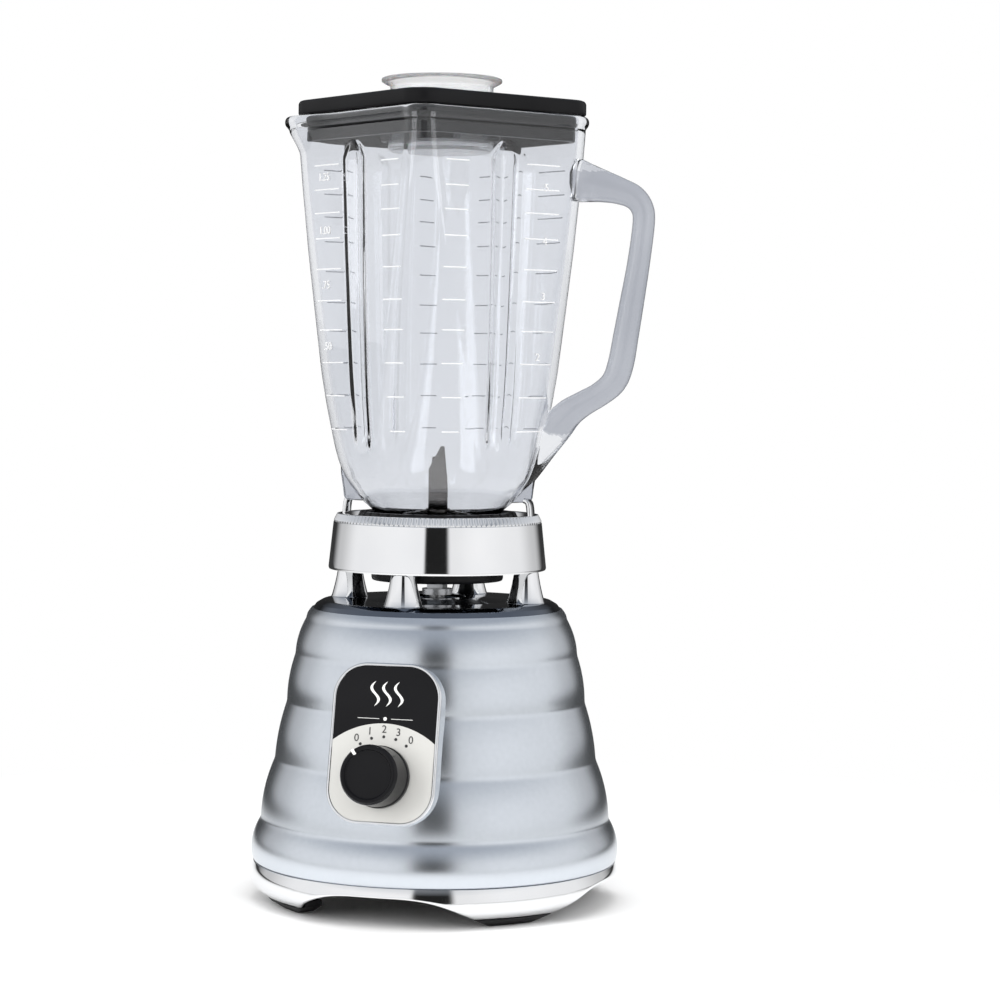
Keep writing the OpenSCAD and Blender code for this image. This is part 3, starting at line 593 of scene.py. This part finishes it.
def grommet():
    """Cord inlet at the rear: a flanged bush with a flared mouth."""
    low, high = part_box("cord_inlet")
    middle = (low + high) / 2 / MM
    outline = round_corners([
        (3.7, 80.4, 0.3), (8.8, 80.4, 0.4), (8.8, 87.2, 0.1), (11.4, 86.4, 0.4), (11.4, 92.5, 1.2),
        (9.6, 94.6, 0.8), (6.2, 94.9, 0.6), (3.7, 92.3, 0.8)])
    points, faces = lathe(outline, 72)
    stand = Matrix.Translation((0, 0, middle.z)) @ Matrix.Rotation(math.radians(-90), 4, "X")
    return piece("grommet", placed(points, stand), faces, "base", "black_rubber", ["cord_inlet"])


# ---- Control panel ----

PANEL_TILT = math.radians(11.5)
PANEL_FRONT = 81.5
PANEL = Matrix.Translation((0, -PANEL_FRONT, 88)) @ Matrix.Rotation(math.pi / 2 - PANEL_TILT, 4, "X")
KNOB = PANEL @ Matrix.Translation((0, -16, 0))
SWING = math.radians(37)
PANEL_WIDTH, PANEL_HEIGHT, PANEL_CORNER = 55, 78, 17
PANEL_RIM = 1.7
INLAY_LOW, INLAY_TOP = -0.9, -0.3
DOT_REACH, NUMERAL_REACH = 19.4, 22.9


def panel_outline(inset):
    """The plate's outline, drawn in by inset."""
    return rounded_rect(PANEL_WIDTH - 2 * inset, PANEL_HEIGHT - 2 * inset, PANEL_CORNER - inset, 14)


def bezel():
    """The plate's rim: a rounded frame whose sides run back to the ribbed body."""
    rows = [(0.0, -10.5), (0.0, -1.4), (0.18, -0.55), (0.55, -0.12), (1.0, 0.0), (1.4, -0.12), (1.68, -0.45),
            (1.72, -1.6)]
    rib_z, rib_r = rib_curve()
    points = []
    for inset, depth in rows:
        for x, y in panel_outline(inset):
            if depth < -5:
                point = PANEL @ Vector((x, y, depth))
                reach = float(np.interp(point.z, rib_z, rib_r)) - 0.9
                front = -math.sqrt(max(0.0, reach * reach - x * x))
                back = (front + PANEL_FRONT - y * math.sin(PANEL_TILT)) / math.cos(PANEL_TILT)
                points.append(tuple(PANEL @ Vector((x, y, min(-1.6, -back)))))
            else:
                points.append(tuple(PANEL @ Vector((x, y, depth))))
    n = len(points) // len(rows)
    faces = loop_faces(len(rows), n, True)
    return piece("bezel", points, faces, "base", "silver_plastic", ["control_bezel"])


def panel_fields():
    """The plate's two inlays, black above and warm grey below, parted by an arc round the knob."""
    outline = panel_outline(PANEL_RIM)
    radius, centre_y = 42, -32.2
    half = PANEL_WIDTH / 2 - PANEL_RIM
    reach = math.asin(half / radius)
    arc = [(radius * math.sin(a), centre_y + radius * math.cos(a)) for a in np.linspace(-reach, reach, 33)]
    split = arc[0][1]
    above = [p for p in outline if p[1] > split]
    below = [p for p in outline if p[1] <= split]
    points, faces = prism_flat(above + arc)
    piece("panel_black", points, faces, "base", "gloss_black", ["control_face_black"])
    points, faces = prism_flat(sorted_below(below) + arc[::-1])
    piece("panel_grey", points, faces, "base", "grey_plastic", ["control_face_grey"])


def prism_flat(outline):
    """A thin inlay in the plate with the given outline."""
    points = [(x, y, z) for z in (INLAY_LOW, INLAY_TOP) for x, y in outline]
    return placed(points, PANEL), capped_faces(points, len(outline))


def sorted_below(points):
    """Points of the lower outline from its left end round to its right end."""
    return sorted(points, key=lambda p: math.atan2(p[0], -p[1] - 10))


def on_knob(points):
    return placed(points, KNOB)


def dial():
    """Five dots round the knob, with the numerals of the five positions outside them."""
    parts = []
    turns = np.linspace(0, math.tau, 16, endpoint=False)
    for i, numeral in zip(range(-2, 3), "01230"):
        angle = math.pi / 2 - i * SWING / 2
        x, y = math.cos(angle), math.sin(angle)
        dot = [(DOT_REACH * x + 0.75 * math.cos(a), DOT_REACH * y + 0.75 * math.sin(a)) for a in turns]
        parts.append(prism(dot, -0.32, -0.2))
        points, faces = text_mesh(numeral, 5.2, 0.14)
        shift = Vector((NUMERAL_REACH * x, NUMERAL_REACH * y, -0.26))
        parts.append(([tuple(Vector(p) + shift) for p in points], faces))
    points, faces = joined(parts)
    return piece("dial", on_knob(points), faces, "base", "dark_mark", ["dial_marks"])


def panel_emblem():
    """Plain ornament on the black field: a thin rule with a dot, under three rising waves."""
    rule = rounded_rect(11, 0.24, 0.1, 2)
    parts = [prism([(x + side * 8.5, y) for x, y in rule], -0.34, -0.24) for side in (-1, 1)]
    parts.append(prism(rounded_rect(1.8, 1.8, 0.89, 4), -0.34, -0.24))
    for k in (-1, 0, 1):
        outline = []
        for side in (1, -1):
            for t in np.linspace(0, 1, 13)[::side]:
                width = 0.75 * math.sin(math.pi * min(1, max(0, t))) ** 0.6 + 0.05
                outline.append((k * 6 + 2.0 * math.sin(t * math.tau) + side * width, 6 + 12 * t))
        parts.append(prism(outline, -0.34, -0.24))
    points, faces = joined(parts)
    lift = Matrix.Translation((0, 12, 0))
    return piece("emblem", placed(points, PANEL @ lift), faces, "base", "white_mark")


def knob():
    """Round knob with a rolled rim, a dished face and fine flutes down its side."""
    r, length = 15.0, 20.0
    outline = round_corners([
        (3.05, 4, 0), (11, 4, 0), (11, 0.6, 0.2), (r, 0.6, 0.5), (r, 3.4, 0.6), (r - 0.45, 3.9, 0.3),
        (r - 0.6, length - 2.2, 1.2), (r - 1.7, length, 0.9), (r - 3.0, length - 0.2, 0.7),
        (r - 3.7, length - 1.4, 0.8), (0.01, length - 1.1, 0), (0.01, 16, 0), (3.05, 16, 0)], 5)

    def flutes(angle, radius, z):
        cut = 0.22 * max(0.0, math.sin(angle * 40)) if radius > r - 0.8 and 4.5 < z < length - 2.6 else 0
        return radius - cut, z

    points, faces = lathe(outline, 480, flutes)
    return piece("knob_body", on_knob(points), faces, "knob", "gloss_black", ["knob"])


def knob_line():
    """White pointer set into the knob's rim."""
    outline = rounded_rect(1.5, 2.9, 0.4, 4)
    points, faces = prism([(x, y + 12.9) for x, y in outline], 18.4, 20.15, 0.2)
    turn = Matrix.Rotation(SWING, 4, "Z")
    return piece("knob_line", on_knob(placed(points, turn)), faces, "knob", "white_mark", ["knob_marker"])


# ---- Jar ----

# Height, half width across the faces, and reach to the corners, all of the jar's outside.
LEVELS = np.array([
    [179.5, 33.2, 33.2], [188, 33.2, 33.2], [191, 31.5, 31.5], [196, 31.7, 31.7], [199.9, 35.9, 36.8],
    [207, 41.2, 43.4], [214, 45, 47.6], [221, 46.6, 50.4], [228, 47.6, 52.4], [236, 48.4, 54.2],
    [251, 49.8, 57.3], [266, 50.8, 59.8], [297, 52.3, 63.6], [327, 53.4, 67.2], [357, 54.3, 70.2],
    [374, 54.7, 71.7], [386, 55, 72.6], [396, 55.1, 72.7]])
GLASS = 3.6
JAR_FOOT, JAR_RIM = 179.5, 396.0
FLUTE_LOW, FLUTE_TOP, FLUTE_DEPTH = 224, 380.0, 3.3
WALL_Z = np.arange(JAR_FOOT, JAR_RIM + 0.01, 0.5)


def softened(column):
    """A column of LEVELS at each WALL_Z, blurred between the foot and the rim."""
    line = np.interp(WALL_Z, LEVELS[:, 0], LEVELS[:, column])
    kernel = np.hanning(15)[1:-1]
    blurred = np.convolve(np.pad(line, 6, mode="edge"), kernel / kernel.sum(), mode="valid")
    return np.where((WALL_Z > 192) & (WALL_Z < 384), blurred, line)


HALF, REACH = softened(1), softened(2)


def smoothstep(t):
    t = np.clip(t, 0, 1)
    return t * t * (3 - 2 * t)


def jar_radius(angle, z, inset=0.0):
    """Radius of the jar's wall. Angle 0 is the handle's corner; arrays are welcome."""
    half = np.interp(z, WALL_Z, HALF) - inset
    reach = np.interp(z, WALL_Z, REACH) - inset
    corner = np.clip((half * math.sqrt(2) - reach) / (math.sqrt(2) - 1), 4, half)
    face = np.mod(angle, math.pi / 2) - math.pi / 4
    s, c = np.sin(np.abs(face)), np.cos(face)
    middle = half - corner
    arc = middle * (c + s) + np.sqrt(np.maximum(0, corner ** 2 - middle ** 2 * (c - s) ** 2))
    radius = np.where(half * s / c <= middle, half / c, arc)
    width = np.interp(z, [225, 375], [6.4, 9.4])
    arch = np.sqrt(np.clip((FLUTE_TOP - z) / 9, 0, 1))
    width = width * np.clip(arch, 0.05, 1)
    u = radius * np.sin(face) / width
    depth = FLUTE_DEPTH * smoothstep((z - FLUTE_LOW) / 14) * smoothstep((FLUTE_TOP - z) / 7)
    dent = depth * np.clip(1 - u ** 2, 0, None) ** 1.6
    away = np.mod(angle, math.tau) - math.pi
    lip = 5.4 * np.exp(-(away / math.radians(11)) ** 2) * smoothstep((z - 374) / 16)
    return radius - dent / c + lip


def jar_column(rows):
    """Rings of the jar's wall from (z, inset) rows, with a cap on each end."""
    count = 480
    angles = np.linspace(0, math.tau, count, endpoint=False)
    points = []
    for z, inset in rows:
        radius = jar_radius(angles, z, inset)
        points += [(r * math.cos(a), r * math.sin(a), z) for r, a in zip(radius, angles)]
    return points, capped_faces(points, count)


def jar_outside():
    heights = np.concatenate([np.arange(JAR_FOOT, 200, 1.5), np.arange(200.2, 232, 1.3),
                              np.arange(232, 366, 3.0), np.arange(366, 387, 1.0)])
    rows = [(z, 0.0) for z in heights]
    rows += [(387.6, 0.0), (388.5, -0.5), (389.3, -1.15), (390.3, -1.6), (391.4, -1.7), (392.4, -1.55),
             (393.3, -1.1), (393.9, -0.4), (394.25, 0.5), (394.3, 1.2)]
    return jar_column(rows)


def jar_inside():
    heights = np.concatenate([[178.0], np.arange(180, 232, 1.7), np.arange(232, 366, 3.0),
                              np.arange(366, 391, 1.0)])
    rows = [(z, GLASS) for z in heights] + [(392.2, 3.5), (393.3, 3.1), (394.0, 2.5), (395.2, 1.3)]
    return jar_column(rows)


# The handle's centre line from top to bottom: x, z, thickness and width.
HANDLE = [(62, 363.5, 27, 25), (68, 362.8, 22.5, 21), (74, 361.5, 19.5, 18), (82, 359.8, 16, 16.5),
          (90, 357.6, 13.4, 16), (97, 354.6, 12.2, 16), (101.2, 349.5, 11.4, 16), (102.3, 342, 11, 16),
          (100, 322, 11.2, 16), (97, 303, 12, 16), (94.2, 286, 12.6, 16), (91.6, 271, 13, 16),
          (88.2, 262.2, 12.8, 16), (81.5, 256.2, 12.2, 16), (73, 251.2, 12.8, 16.5),
          (66, 246.4, 14.5, 17.5), (60, 239.5, 16, 18), (54.5, 231, 14.5, 17),
          (50.6, 222.5, 10.5, 14), (46.6, 214.5, 7, 11), (42, 208, 4, 8)]


def handle():
    """The handle swept along its centre line, wider where it grows out of the wall."""
    knots = np.array(HANDLE, float)
    line = []
    for i in range(len(knots) - 1):
        p0, p1 = knots[max(0, i - 1)], knots[i]
        p2, p3 = knots[i + 1], knots[min(len(knots) - 1, i + 2)]
        for t in np.linspace(0, 1, 6, endpoint=False):
            line.append(0.5 * (2 * p1 + (p2 - p0) * t + (2 * p0 - 5 * p1 + 4 * p2 - p3) * t ** 2
                               + (3 * p1 - p0 - 3 * p2 + p3) * t ** 3))
    line.append(knots[-1])
    points = []
    sides = 40
    for i, (x, z, thick, wide) in enumerate(line):
        across = side_of(line, i)
        for a in np.linspace(0, math.tau, sides, endpoint=False):
            ca, sa = math.cos(a), math.sin(a)
            u = thick / 2 * math.copysign(abs(ca) ** 0.78, ca)
            v = wide / 2 * math.copysign(abs(sa) ** 0.78, sa)
            points.append((x + across[0] * u, v, z + across[1] * u))
    return points, capped_faces(points, sides)


def wing(side):
    """Plate under a corner of the jar, from its shoulder down beside the prong."""
    outline = round_corners([
        (40, 224, 0), (49.8, 224, 2), (49.4, 215, 2), (48.2, 207, 3), (47.6, 201.3, 3.2),
        (36.4, 200.9, 0.6), (34.5, 204, 0)], 5)
    points = []
    for y, wide, tall in ((-2.9, 0.93, 0.95), (-2.2, 1, 1), (2.2, 1, 1), (2.9, 0.93, 0.95)):
        points += [(side * (43 + (x - 43) * wide), y, 208 + (z - 208) * tall) for x, z in outline]
    return points, capped_faces(points, len(outline))


def combine(target, tool, operation):
    """Applies a boolean of tool to target and drops tool."""
    modifier = target.modifiers.new("cut", "BOOLEAN")
    modifier.operation = operation
    modifier.object = tool
    modifier.solver = "EXACT"
    bpy.context.view_layer.update()
    result = bpy.data.meshes.new_from_object(target.evaluated_get(bpy.context.evaluated_depsgraph_get()))
    target.modifiers.clear()
    old = target.data
    target.data = result
    bpy.data.meshes.remove(old)
    bpy.data.objects.remove(tool)


def glass_jar():
    """The jar's one casting: wall, handle and two wings, with the handle's glass a little frosted."""
    jar = new_object("jar", *jar_outside())
    combine(jar, new_object("handle", *handle()), "UNION")
    for side in (1, -1):
        combine(jar, new_object("wing", *wing(side)), "UNION")
    combine(jar, new_object("inside", *jar_inside()), "DIFFERENCE")
    smooth(jar, 40)
    dress(jar, "jar", "glass", ["glass_jar"])
    jar.data.materials.append(MATERIALS["handle_glass"])
    for face in jar.data.polygons:
        x, y, z = face.center / MM
        proud = math.hypot(x, y) - float(jar_radius(np.array([math.atan2(y, x)]), z)[0])
        on_handle = x > 0 and abs(y) < 14 and 236 < z < 367
        on_wing = abs(y) < 3.2 and z < 226
        face.material_index = 1 if (on_handle or on_wing) and proud > 0.8 else 0
    jar.data.transform(Matrix.Rotation(JAR_TURN, 4, "Z"))
    return jar


def face_point(face, across, z, lift):
    """Point on the outside of one face of the jar: across from its middle, at height z, raised by lift."""
    middle = face * math.pi / 2 + math.pi / 4
    half = float(np.interp(z, WALL_Z, HALF))
    angle = middle + math.atan2(across, half)
    radius = float(jar_radius(np.array([angle]), z)[0]) + lift
    return radius * math.cos(angle), radius * math.sin(angle), z


def graduation(face, start, end, z, high=0.6, lift=0.14):
    """A raised line on the glass that follows its surface."""
    across = np.linspace(start, end, max(4, int(abs(end - start) / 1.5)))
    points = []
    for u in across:
        for dz, out in ((-high / 2, 0.02), (-high / 4, lift), (high / 4, lift), (high / 2, 0.02)):
            points.append(face_point(face, u, z + dz, out))
    return points, capped_faces(points, 4)


def raised_text(face, text, across, z, size):
    points, faces = text_mesh(text, size, 0.7)
    return [face_point(face, across + x, z + y, depth + 0.1) for x, y, depth in points], faces


GRADUATIONS = (368.5, 356.4, 344.8, 332.2, 317.0, 301.3, 286.7, 270.5, 254.0, 237.2)
LITRES = (("1.25", 362.5), ("1.00", 336), (".75", 309), (".50", 278.5))
CUPS = (("5", 357.5, 24), ("4", 331, 24), ("3", 304, 24), ("2", 274, 22))


def jar_marks():
    """Graduations round the jar: litres on one front face, cups on the other, plain ticks behind."""
    parts = []
    for z in GRADUATIONS:
        outer = float(np.interp(z, LEVELS[:, 0], LEVELS[:, 1])) - (8 if z > 330 else 14)
        for face in range(4):
            for side in (-1, 1):
                inner, length = (11.5, 21) if (face in (2, 0)) == (side < 0) else (24, 14)
                if outer - inner > 3:
                    parts.append(graduation(face, side * inner, side * min(outer, inner + length), z))
    parts += [raised_text(2, text, -24, z, 5.6) for text, z in LITRES]
    parts += [raised_text(3, text, across, z, 5.2) for text, z, across in CUPS]
    points, faces = joined(parts)
    return piece("jar_marks", points, faces, "jar", "glass", material="frosted", turn=JAR_TURN)


def bottom_cap():
    """Threaded cap with grip ribs round its wide part."""
    low, high, seat = CAP_LOW.z, CAP_HIGH.z, RING_LOW.z + 4.65
    outline = round_corners([
        (11.3, low, 0.3), (32.9, low, 0.8), (33.3, low + 1.4, 0.6), (33.3, seat, 0.2), (40.1, seat, 0.6),
        (40.5, seat + 1.2, 0.5), (40.5, high - 2.6, 0.8), (39.2, high, 0.8), (35.5, high, 0.5),
        (34.3, high - 2, 0.4), (34.3, high - 19.4, 0.1), (29.1, high - 19.4, 0.2), (27, low + 4, 0.8),
        (11.3, low + 4, 0.4)])

    def grip(angle, radius, z):
        groove = max(0.0, math.cos(angle * 36)) ** 3
        return (radius - 0.9 * groove if radius > 39 and z > seat + 3 else radius), z

    return piece("jar_cap", *lathe(outline, 720, grip), "jar", "black_plastic", ["bottom_cap"])


# ---- Blade ----

BLADE_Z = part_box("upper_blade")[0].z / MM
BLADE_TURN = math.radians(18)
TINE_HALF = 4.8
REAR_TINE_DROP = 6


def tine_strip(out, tip):
    """One half of the upper blade: flat from the hub, a round bend, then a ground knife edge."""
    t, bend = 1.6, 2.6
    rise = tip - BLADE_Z
    line = [(1.0, t / 2), (out - bend, t / 2)]
    for a in np.linspace(0.25, 1, 4) * math.pi / 2:
        line.append((out - bend + bend * math.sin(a), t / 2 + bend * (1 - math.cos(a))))
    for share in (0.3, 0.45, 0.58, 0.64, 0.72, 0.8, 0.88, 0.95, 1.0):
        line.append((out + 0.02 * share * rise, t / 2 + share * (rise - t / 2)))
    points = []
    for i, (x, z) in enumerate(line):
        share = (z - t) / rise
        right = TINE_HALF - max(0.0, share - 0.35) * 3.0
        left = min(-TINE_HALF + max(0.0, share - 0.6) * 17, right - 0.25)
        up = (0.0, 1.0) if i < 2 else -side_of(line, i)
        edge = 0.5 if i < 5 else 0.08
        ground = min(1.7, (right - left) * 0.35)
        section = ((left, edge), (left + ground, 0.8), (right - 0.3, 0.8), (right, 0.4),
                   (right, -0.4), (right - 0.3, -0.8), (left + 0.3, -0.8), (left, -edge))
        points += [(x + up[0] * w, y, z + up[1] * w) for y, w in section]
    return points, capped_faces(points, len(section))


def upper_blade():
    """Hub with two tines that stand up from it, the rear one lower."""
    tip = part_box("upper_blade")[1].z / MM
    top = BLADE_Z + 1.6
    hub = round_corners([(3.2, BLADE_Z, 0), (6.2, BLADE_Z, 0.3), (6.2, top, 0.3), (3.2, top, 0)])
    parts = [lathe(hub, 48)]
    for turn, height in ((0, tip), (math.pi, tip - REAR_TINE_DROP)):
        points, faces = tine_strip(14.8, height)
        points = [(x, y, z + BLADE_Z) for x, y, z in points]
        parts.append((placed(points, Matrix.Rotation(turn, 4, "Z")), faces))
    points, faces = joined(parts)
    return piece("upper_tines", points, faces, "blade", "blade_steel", ["upper_blade"],
                 turn=BLADE_TURN - math.pi / 2)


# ---- Lid ----

LID_STEPS = 24


def square_outline(half, corner):
    return rounded_rect(2 * half, 2 * half, corner, LID_STEPS)


def lid():
    """Slab with soft edges and a plug below, pierced for the filler cap."""
    slab, top, low = JAR_HIGH.z + 0.3, LID_HIGH.z, LID_LOW.z
    outside = [(50.2, 10.6, low), (50.6, 11, low + 0.5), (50.6, 11, low + 5.0), (50.3, 11, low + 5.3),
               (50.3, 11, low + 6.0), (50.6, 11, low + 6.3), (50.6, 11, slab - 0.2), (50.9, 11, slab),
               (54.6, 12.6, slab), (55.15, 13, slab + 0.45), (55.3, 13, slab + 1.1), (55.3, 13, top - 1.9),
               (55.05, 13, top - 1.0), (54.5, 12.6, top - 0.35), (53.7, 12, top - 0.05), (52.5, 11.5, top),
               (48.5, 10, top), (48.0, 10, top - 0.35), (47.2, 9.8, top - 0.45)]
    hole = [(29.5, top - 0.45), (29.0, top - 0.2), (28.6, top), (27.2, top), (26.6, top - 0.4),
            (26.4, top - 1.0), (26.4, low + 0.6), (27, low), (28.6, low), (29, low + 0.5), (29.2, slab - 1.4)]
    plug = [(46.9, 8.8, slab - 1.4), (47.4, 9, low + 0.5), (47.8, 9.4, low)]
    outline_angles = [math.atan2(y, x) for x, y in square_outline(50, 11)]
    points = [(x, y, z) for half, corner, z in outside for x, y in square_outline(half, corner)]
    points += [(r * math.cos(a), r * math.sin(a), z) for r, z in hole for a in outline_angles]
    points += [(x, y, z) for half, corner, z in plug for x, y in square_outline(half, corner)]
    per_ring = len(outline_angles)
    faces = loop_faces(len(points) // per_ring, per_ring, True)
    return piece("lid_body", points, faces, "lid", "lid_plastic", ["lid"], sharp=38,
                 turn=JAR_TURN + math.pi / 4)


def filler_cap():
    """Open cup with a wide rim."""
    low, top = FILLER_LOW.z, FILLER_HIGH.z
    outline = round_corners([
        (0.01, low, 0), (23.8, low, 1.2), (25.3, low + 1.2, 1), (25.9, top - 4.2, 1.6),
        (28.6, top - 2.9, 1.0), (30.25, top - 1.9, 0.6), (30.25, top - 0.5, 0.5), (28.9, top - 0.02, 0.5),
        (26.6, top - 1.0, 1.5), (24.4, top - 3.6, 1.6), (23.9, low + 3.4, 1.5), (22.6, low + 1.9, 1.0),
        (0.01, low + 1.7, 0)], 6)
    return piece("filler_cup", *lathe(outline, 160), "filler_cap", "cap_plastic", ["filler_cap"])


# ---- CAD pieces ----

def dress_cad():
    """The record's material on every CAD node, shown or replaced."""
    slots = {s["node"]: s["material_slot"] for s in frame["record"]["subparts"]}
    for name, obj in frame["nodes"].items():
        obj.data.materials.clear()
        obj.data.materials.append(MATERIALS[slots[name]])


# ---- Studio ----

def camera():
    """Camera at the front right, level with the collar, aimed a little right of the blender."""
    distance, height = 1.414, 0.2665
    pan, pitch, roll = math.radians(1.27), math.radians(2.61), math.radians(0.61)
    data = bpy.data.cameras.new("camera")
    data.sensor_width = 36
    data.lens = 100.8
    data.dof.use_dof = False
    obj = bpy.data.objects.new("camera", data)
    x, y, _ = TOWARD_CAMERA
    place = Matrix.Translation((distance * x, distance * y, height))
    aim = Matrix.Rotation(CAMERA_AZIMUTH - pan, 4, "Z") @ Matrix.Rotation(math.pi / 2 - pitch, 4, "X")
    obj.matrix_world = place @ aim @ Matrix.Rotation(roll, 4, "Z")
    bpy.context.scene.collection.objects.link(obj)
    bpy.context.scene.camera = obj


def mirrored_rays(tree):
    """Node that is 1 for a mirrored ray and 0 for any other, such as one that has passed through glass."""
    path = tree.nodes.new("ShaderNodeLightPath")
    mirrored = tree.nodes.new("ShaderNodeMath")
    mirrored.operation = "SUBTRACT"
    mirrored.use_clamp = True
    tree.links.new(path.outputs["Is Glossy Ray"], mirrored.inputs[0])
    tree.links.new(path.outputs["Transmission Depth"], mirrored.inputs[1])
    return mirrored


# Degrees to the right of the camera, and how bright the surround is there for mirrored rays.
SOFT_BOXES = ((-180, 0.03), (-150, 0.04), (-128, 0.6), (-95, 0.95), (-40, 1.0), (-15, 0.97),
              (-12, 0.015), (9, 0.015), (14, 0.9), (45, 1.0), (96, 0.92), (128, 0.6), (150, 0.04),
              (180, 0.03))


def world():
    """Pale surround. Shiny surfaces see two wide soft boxes with a dark gap between and dark flags behind."""
    scene_world = bpy.data.worlds.new("studio")
    bpy.context.scene.world = scene_world
    scene_world.use_nodes = True
    tree = scene_world.node_tree
    tree.nodes.clear()

    def add(kind, **settings):
        node = tree.nodes.new(kind)
        for key, value in settings.items():
            setattr(node, key, value)
        return node

    coords = add("ShaderNodeTexCoord")
    parts = []
    for axis in (TOWARD_CAMERA, RIGHT_OF_CAMERA):
        dot = add("ShaderNodeVectorMath", operation="DOT_PRODUCT")
        dot.inputs[1].default_value = axis
        tree.links.new(coords.outputs["Generated"], dot.inputs[0])
        parts.append(dot)
    around = add("ShaderNodeMath", operation="ARCTAN2")
    tree.links.new(parts[1].outputs["Value"], around.inputs[0])
    tree.links.new(parts[0].outputs["Value"], around.inputs[1])
    share = add("ShaderNodeMapRange")
    share.inputs["From Min"].default_value = -math.pi
    share.inputs["From Max"].default_value = math.pi
    tree.links.new(around.outputs[0], share.inputs["Value"])
    ramp = add("ShaderNodeValToRGB")
    ramp.color_ramp.interpolation = "EASE"
    elements = ramp.color_ramp.elements
    while len(elements) < len(SOFT_BOXES):
        elements.new(0.5)
    for element, (angle, value) in zip(elements, SOFT_BOXES):
        element.position = (angle + 180) / 360
        element.color = (value, value, value * 1.01, 1)
    tree.links.new(share.outputs["Result"], ramp.inputs["Fac"])

    split = add("ShaderNodeSeparateXYZ")
    tree.links.new(coords.outputs["Generated"], split.inputs[0])
    height = add("ShaderNodeValToRGB")
    for element, (z, value) in zip(height.color_ramp.elements, ((0.3, 0.0), (0.75, 1.0))):
        element.position = z
        element.color = (value, value, value, 1)
    tree.links.new(split.outputs["Z"], height.inputs["Fac"])
    ceiling = add("ShaderNodeMixRGB")
    ceiling.inputs["Color2"].default_value = (0.46, 0.49, 0.54, 1)
    tree.links.new(height.outputs["Color"], ceiling.inputs["Fac"])
    tree.links.new(ramp.outputs["Color"], ceiling.inputs["Color1"])

    pick = add("ShaderNodeMixRGB")
    pick.inputs["Color1"].default_value = (1, 1, 1, 1)
    tree.links.new(mirrored_rays(tree).outputs[0], pick.inputs["Fac"])
    tree.links.new(ceiling.outputs["Color"], pick.inputs["Color2"])
    shade = add("ShaderNodeBackground")
    tree.links.new(pick.outputs["Color"], shade.inputs["Color"])
    out = add("ShaderNodeOutputWorld")
    tree.links.new(shade.outputs[0], out.inputs["Surface"])


def floor():
    """Pale floor that fades into the white surround. Shiny surfaces see it go dark behind the blender."""
    mesh = bpy.data.meshes.new("floor")
    mesh.from_pydata([(-6, -6, 0), (6, -6, 0), (6, 6, 0), (-6, 6, 0)], [], [(0, 1, 2, 3)])
    obj = bpy.data.objects.new("floor", mesh)
    bpy.context.scene.collection.objects.link(obj)
    m = Nodes("floor_paper")
    m.set(Base_Color=(0.9, 0.9, 0.9, 1), Roughness=0.9, Specular_IOR_Level=0.0)
    distance = m.add("ShaderNodeVectorMath", operation="LENGTH")
    m.link(m.coords, "Object", distance, 0)
    fade = m.add("ShaderNodeMapRange", From_Min=0.12, From_Max=0.5)
    m.link(distance, "Value", fade, "Value")
    ahead = m.add("ShaderNodeVectorMath", operation="DOT_PRODUCT")
    ahead.inputs[1].default_value = TOWARD_CAMERA
    m.link(m.coords, "Object", ahead, 0)
    dark = m.add("ShaderNodeMapRange", From_Min=-0.1, From_Max=-0.45, To_Min=0.2, To_Max=0.95)
    m.link(ahead, "Value", dark, "Value")
    loss = m.add("ShaderNodeMath", operation="MULTIPLY")
    m.link(mirrored_rays(m.tree), 0, loss, 0)
    m.link(dark, "Result", loss, 1)
    strength = m.add("ShaderNodeMath", operation="SUBTRACT")
    strength.inputs[0].default_value = 1.0
    m.link(loss, 0, strength, 1)
    glow = m.add("ShaderNodeEmission")
    m.link(strength, 0, glow, "Strength")
    mix = m.add("ShaderNodeMixShader")
    m.link(fade, "Result", mix, "Fac")
    m.link(m.shader, 0, mix, 1)
    m.link(glow, 0, mix, 2)
    m.link(mix, 0, m.tree.nodes["Material Output"], "Surface")
    mesh.materials.append(m.material)


def soft_light(name, azimuth, height, distance, size, power):
    data = bpy.data.lights.new(name, "AREA")
    data.shape = "RECTANGLE"
    data.size, data.size_y = size
    data.energy = power
    obj = bpy.data.objects.new(name, data)
    angle = CAMERA_AZIMUTH + math.radians(azimuth)
    obj.location = (distance * math.sin(angle), -distance * math.cos(angle), height)
    obj.rotation_euler = (Vector((0, 0, 0.2)) - obj.location).to_track_quat("-Z", "Y").to_euler()
    obj.visible_glossy = False
    bpy.context.scene.collection.objects.link(obj)


camera()
world()
floor()
soft_light("left_box", -55, 0.9, 1.8, (1.0, 1.4), 16)
soft_light("right_box", 50, 0.9, 1.8, (1.0, 1.4), 14)
soft_light("top_box", 0, 2.0, 0.4, (1.2, 1.2), 10)
bpy.context.scene.view_settings.view_transform = "Standard"

dress_cad()
body_shell()
skirt()
foot_pads()
deck()
posts()
collar()
prongs()
grommet()
bezel()
panel_fields()
dial()
panel_emblem()
knob()
knob_line()
glass_jar()
jar_marks()
bottom_cap()
upper_blade()
lid()
filler_cap()
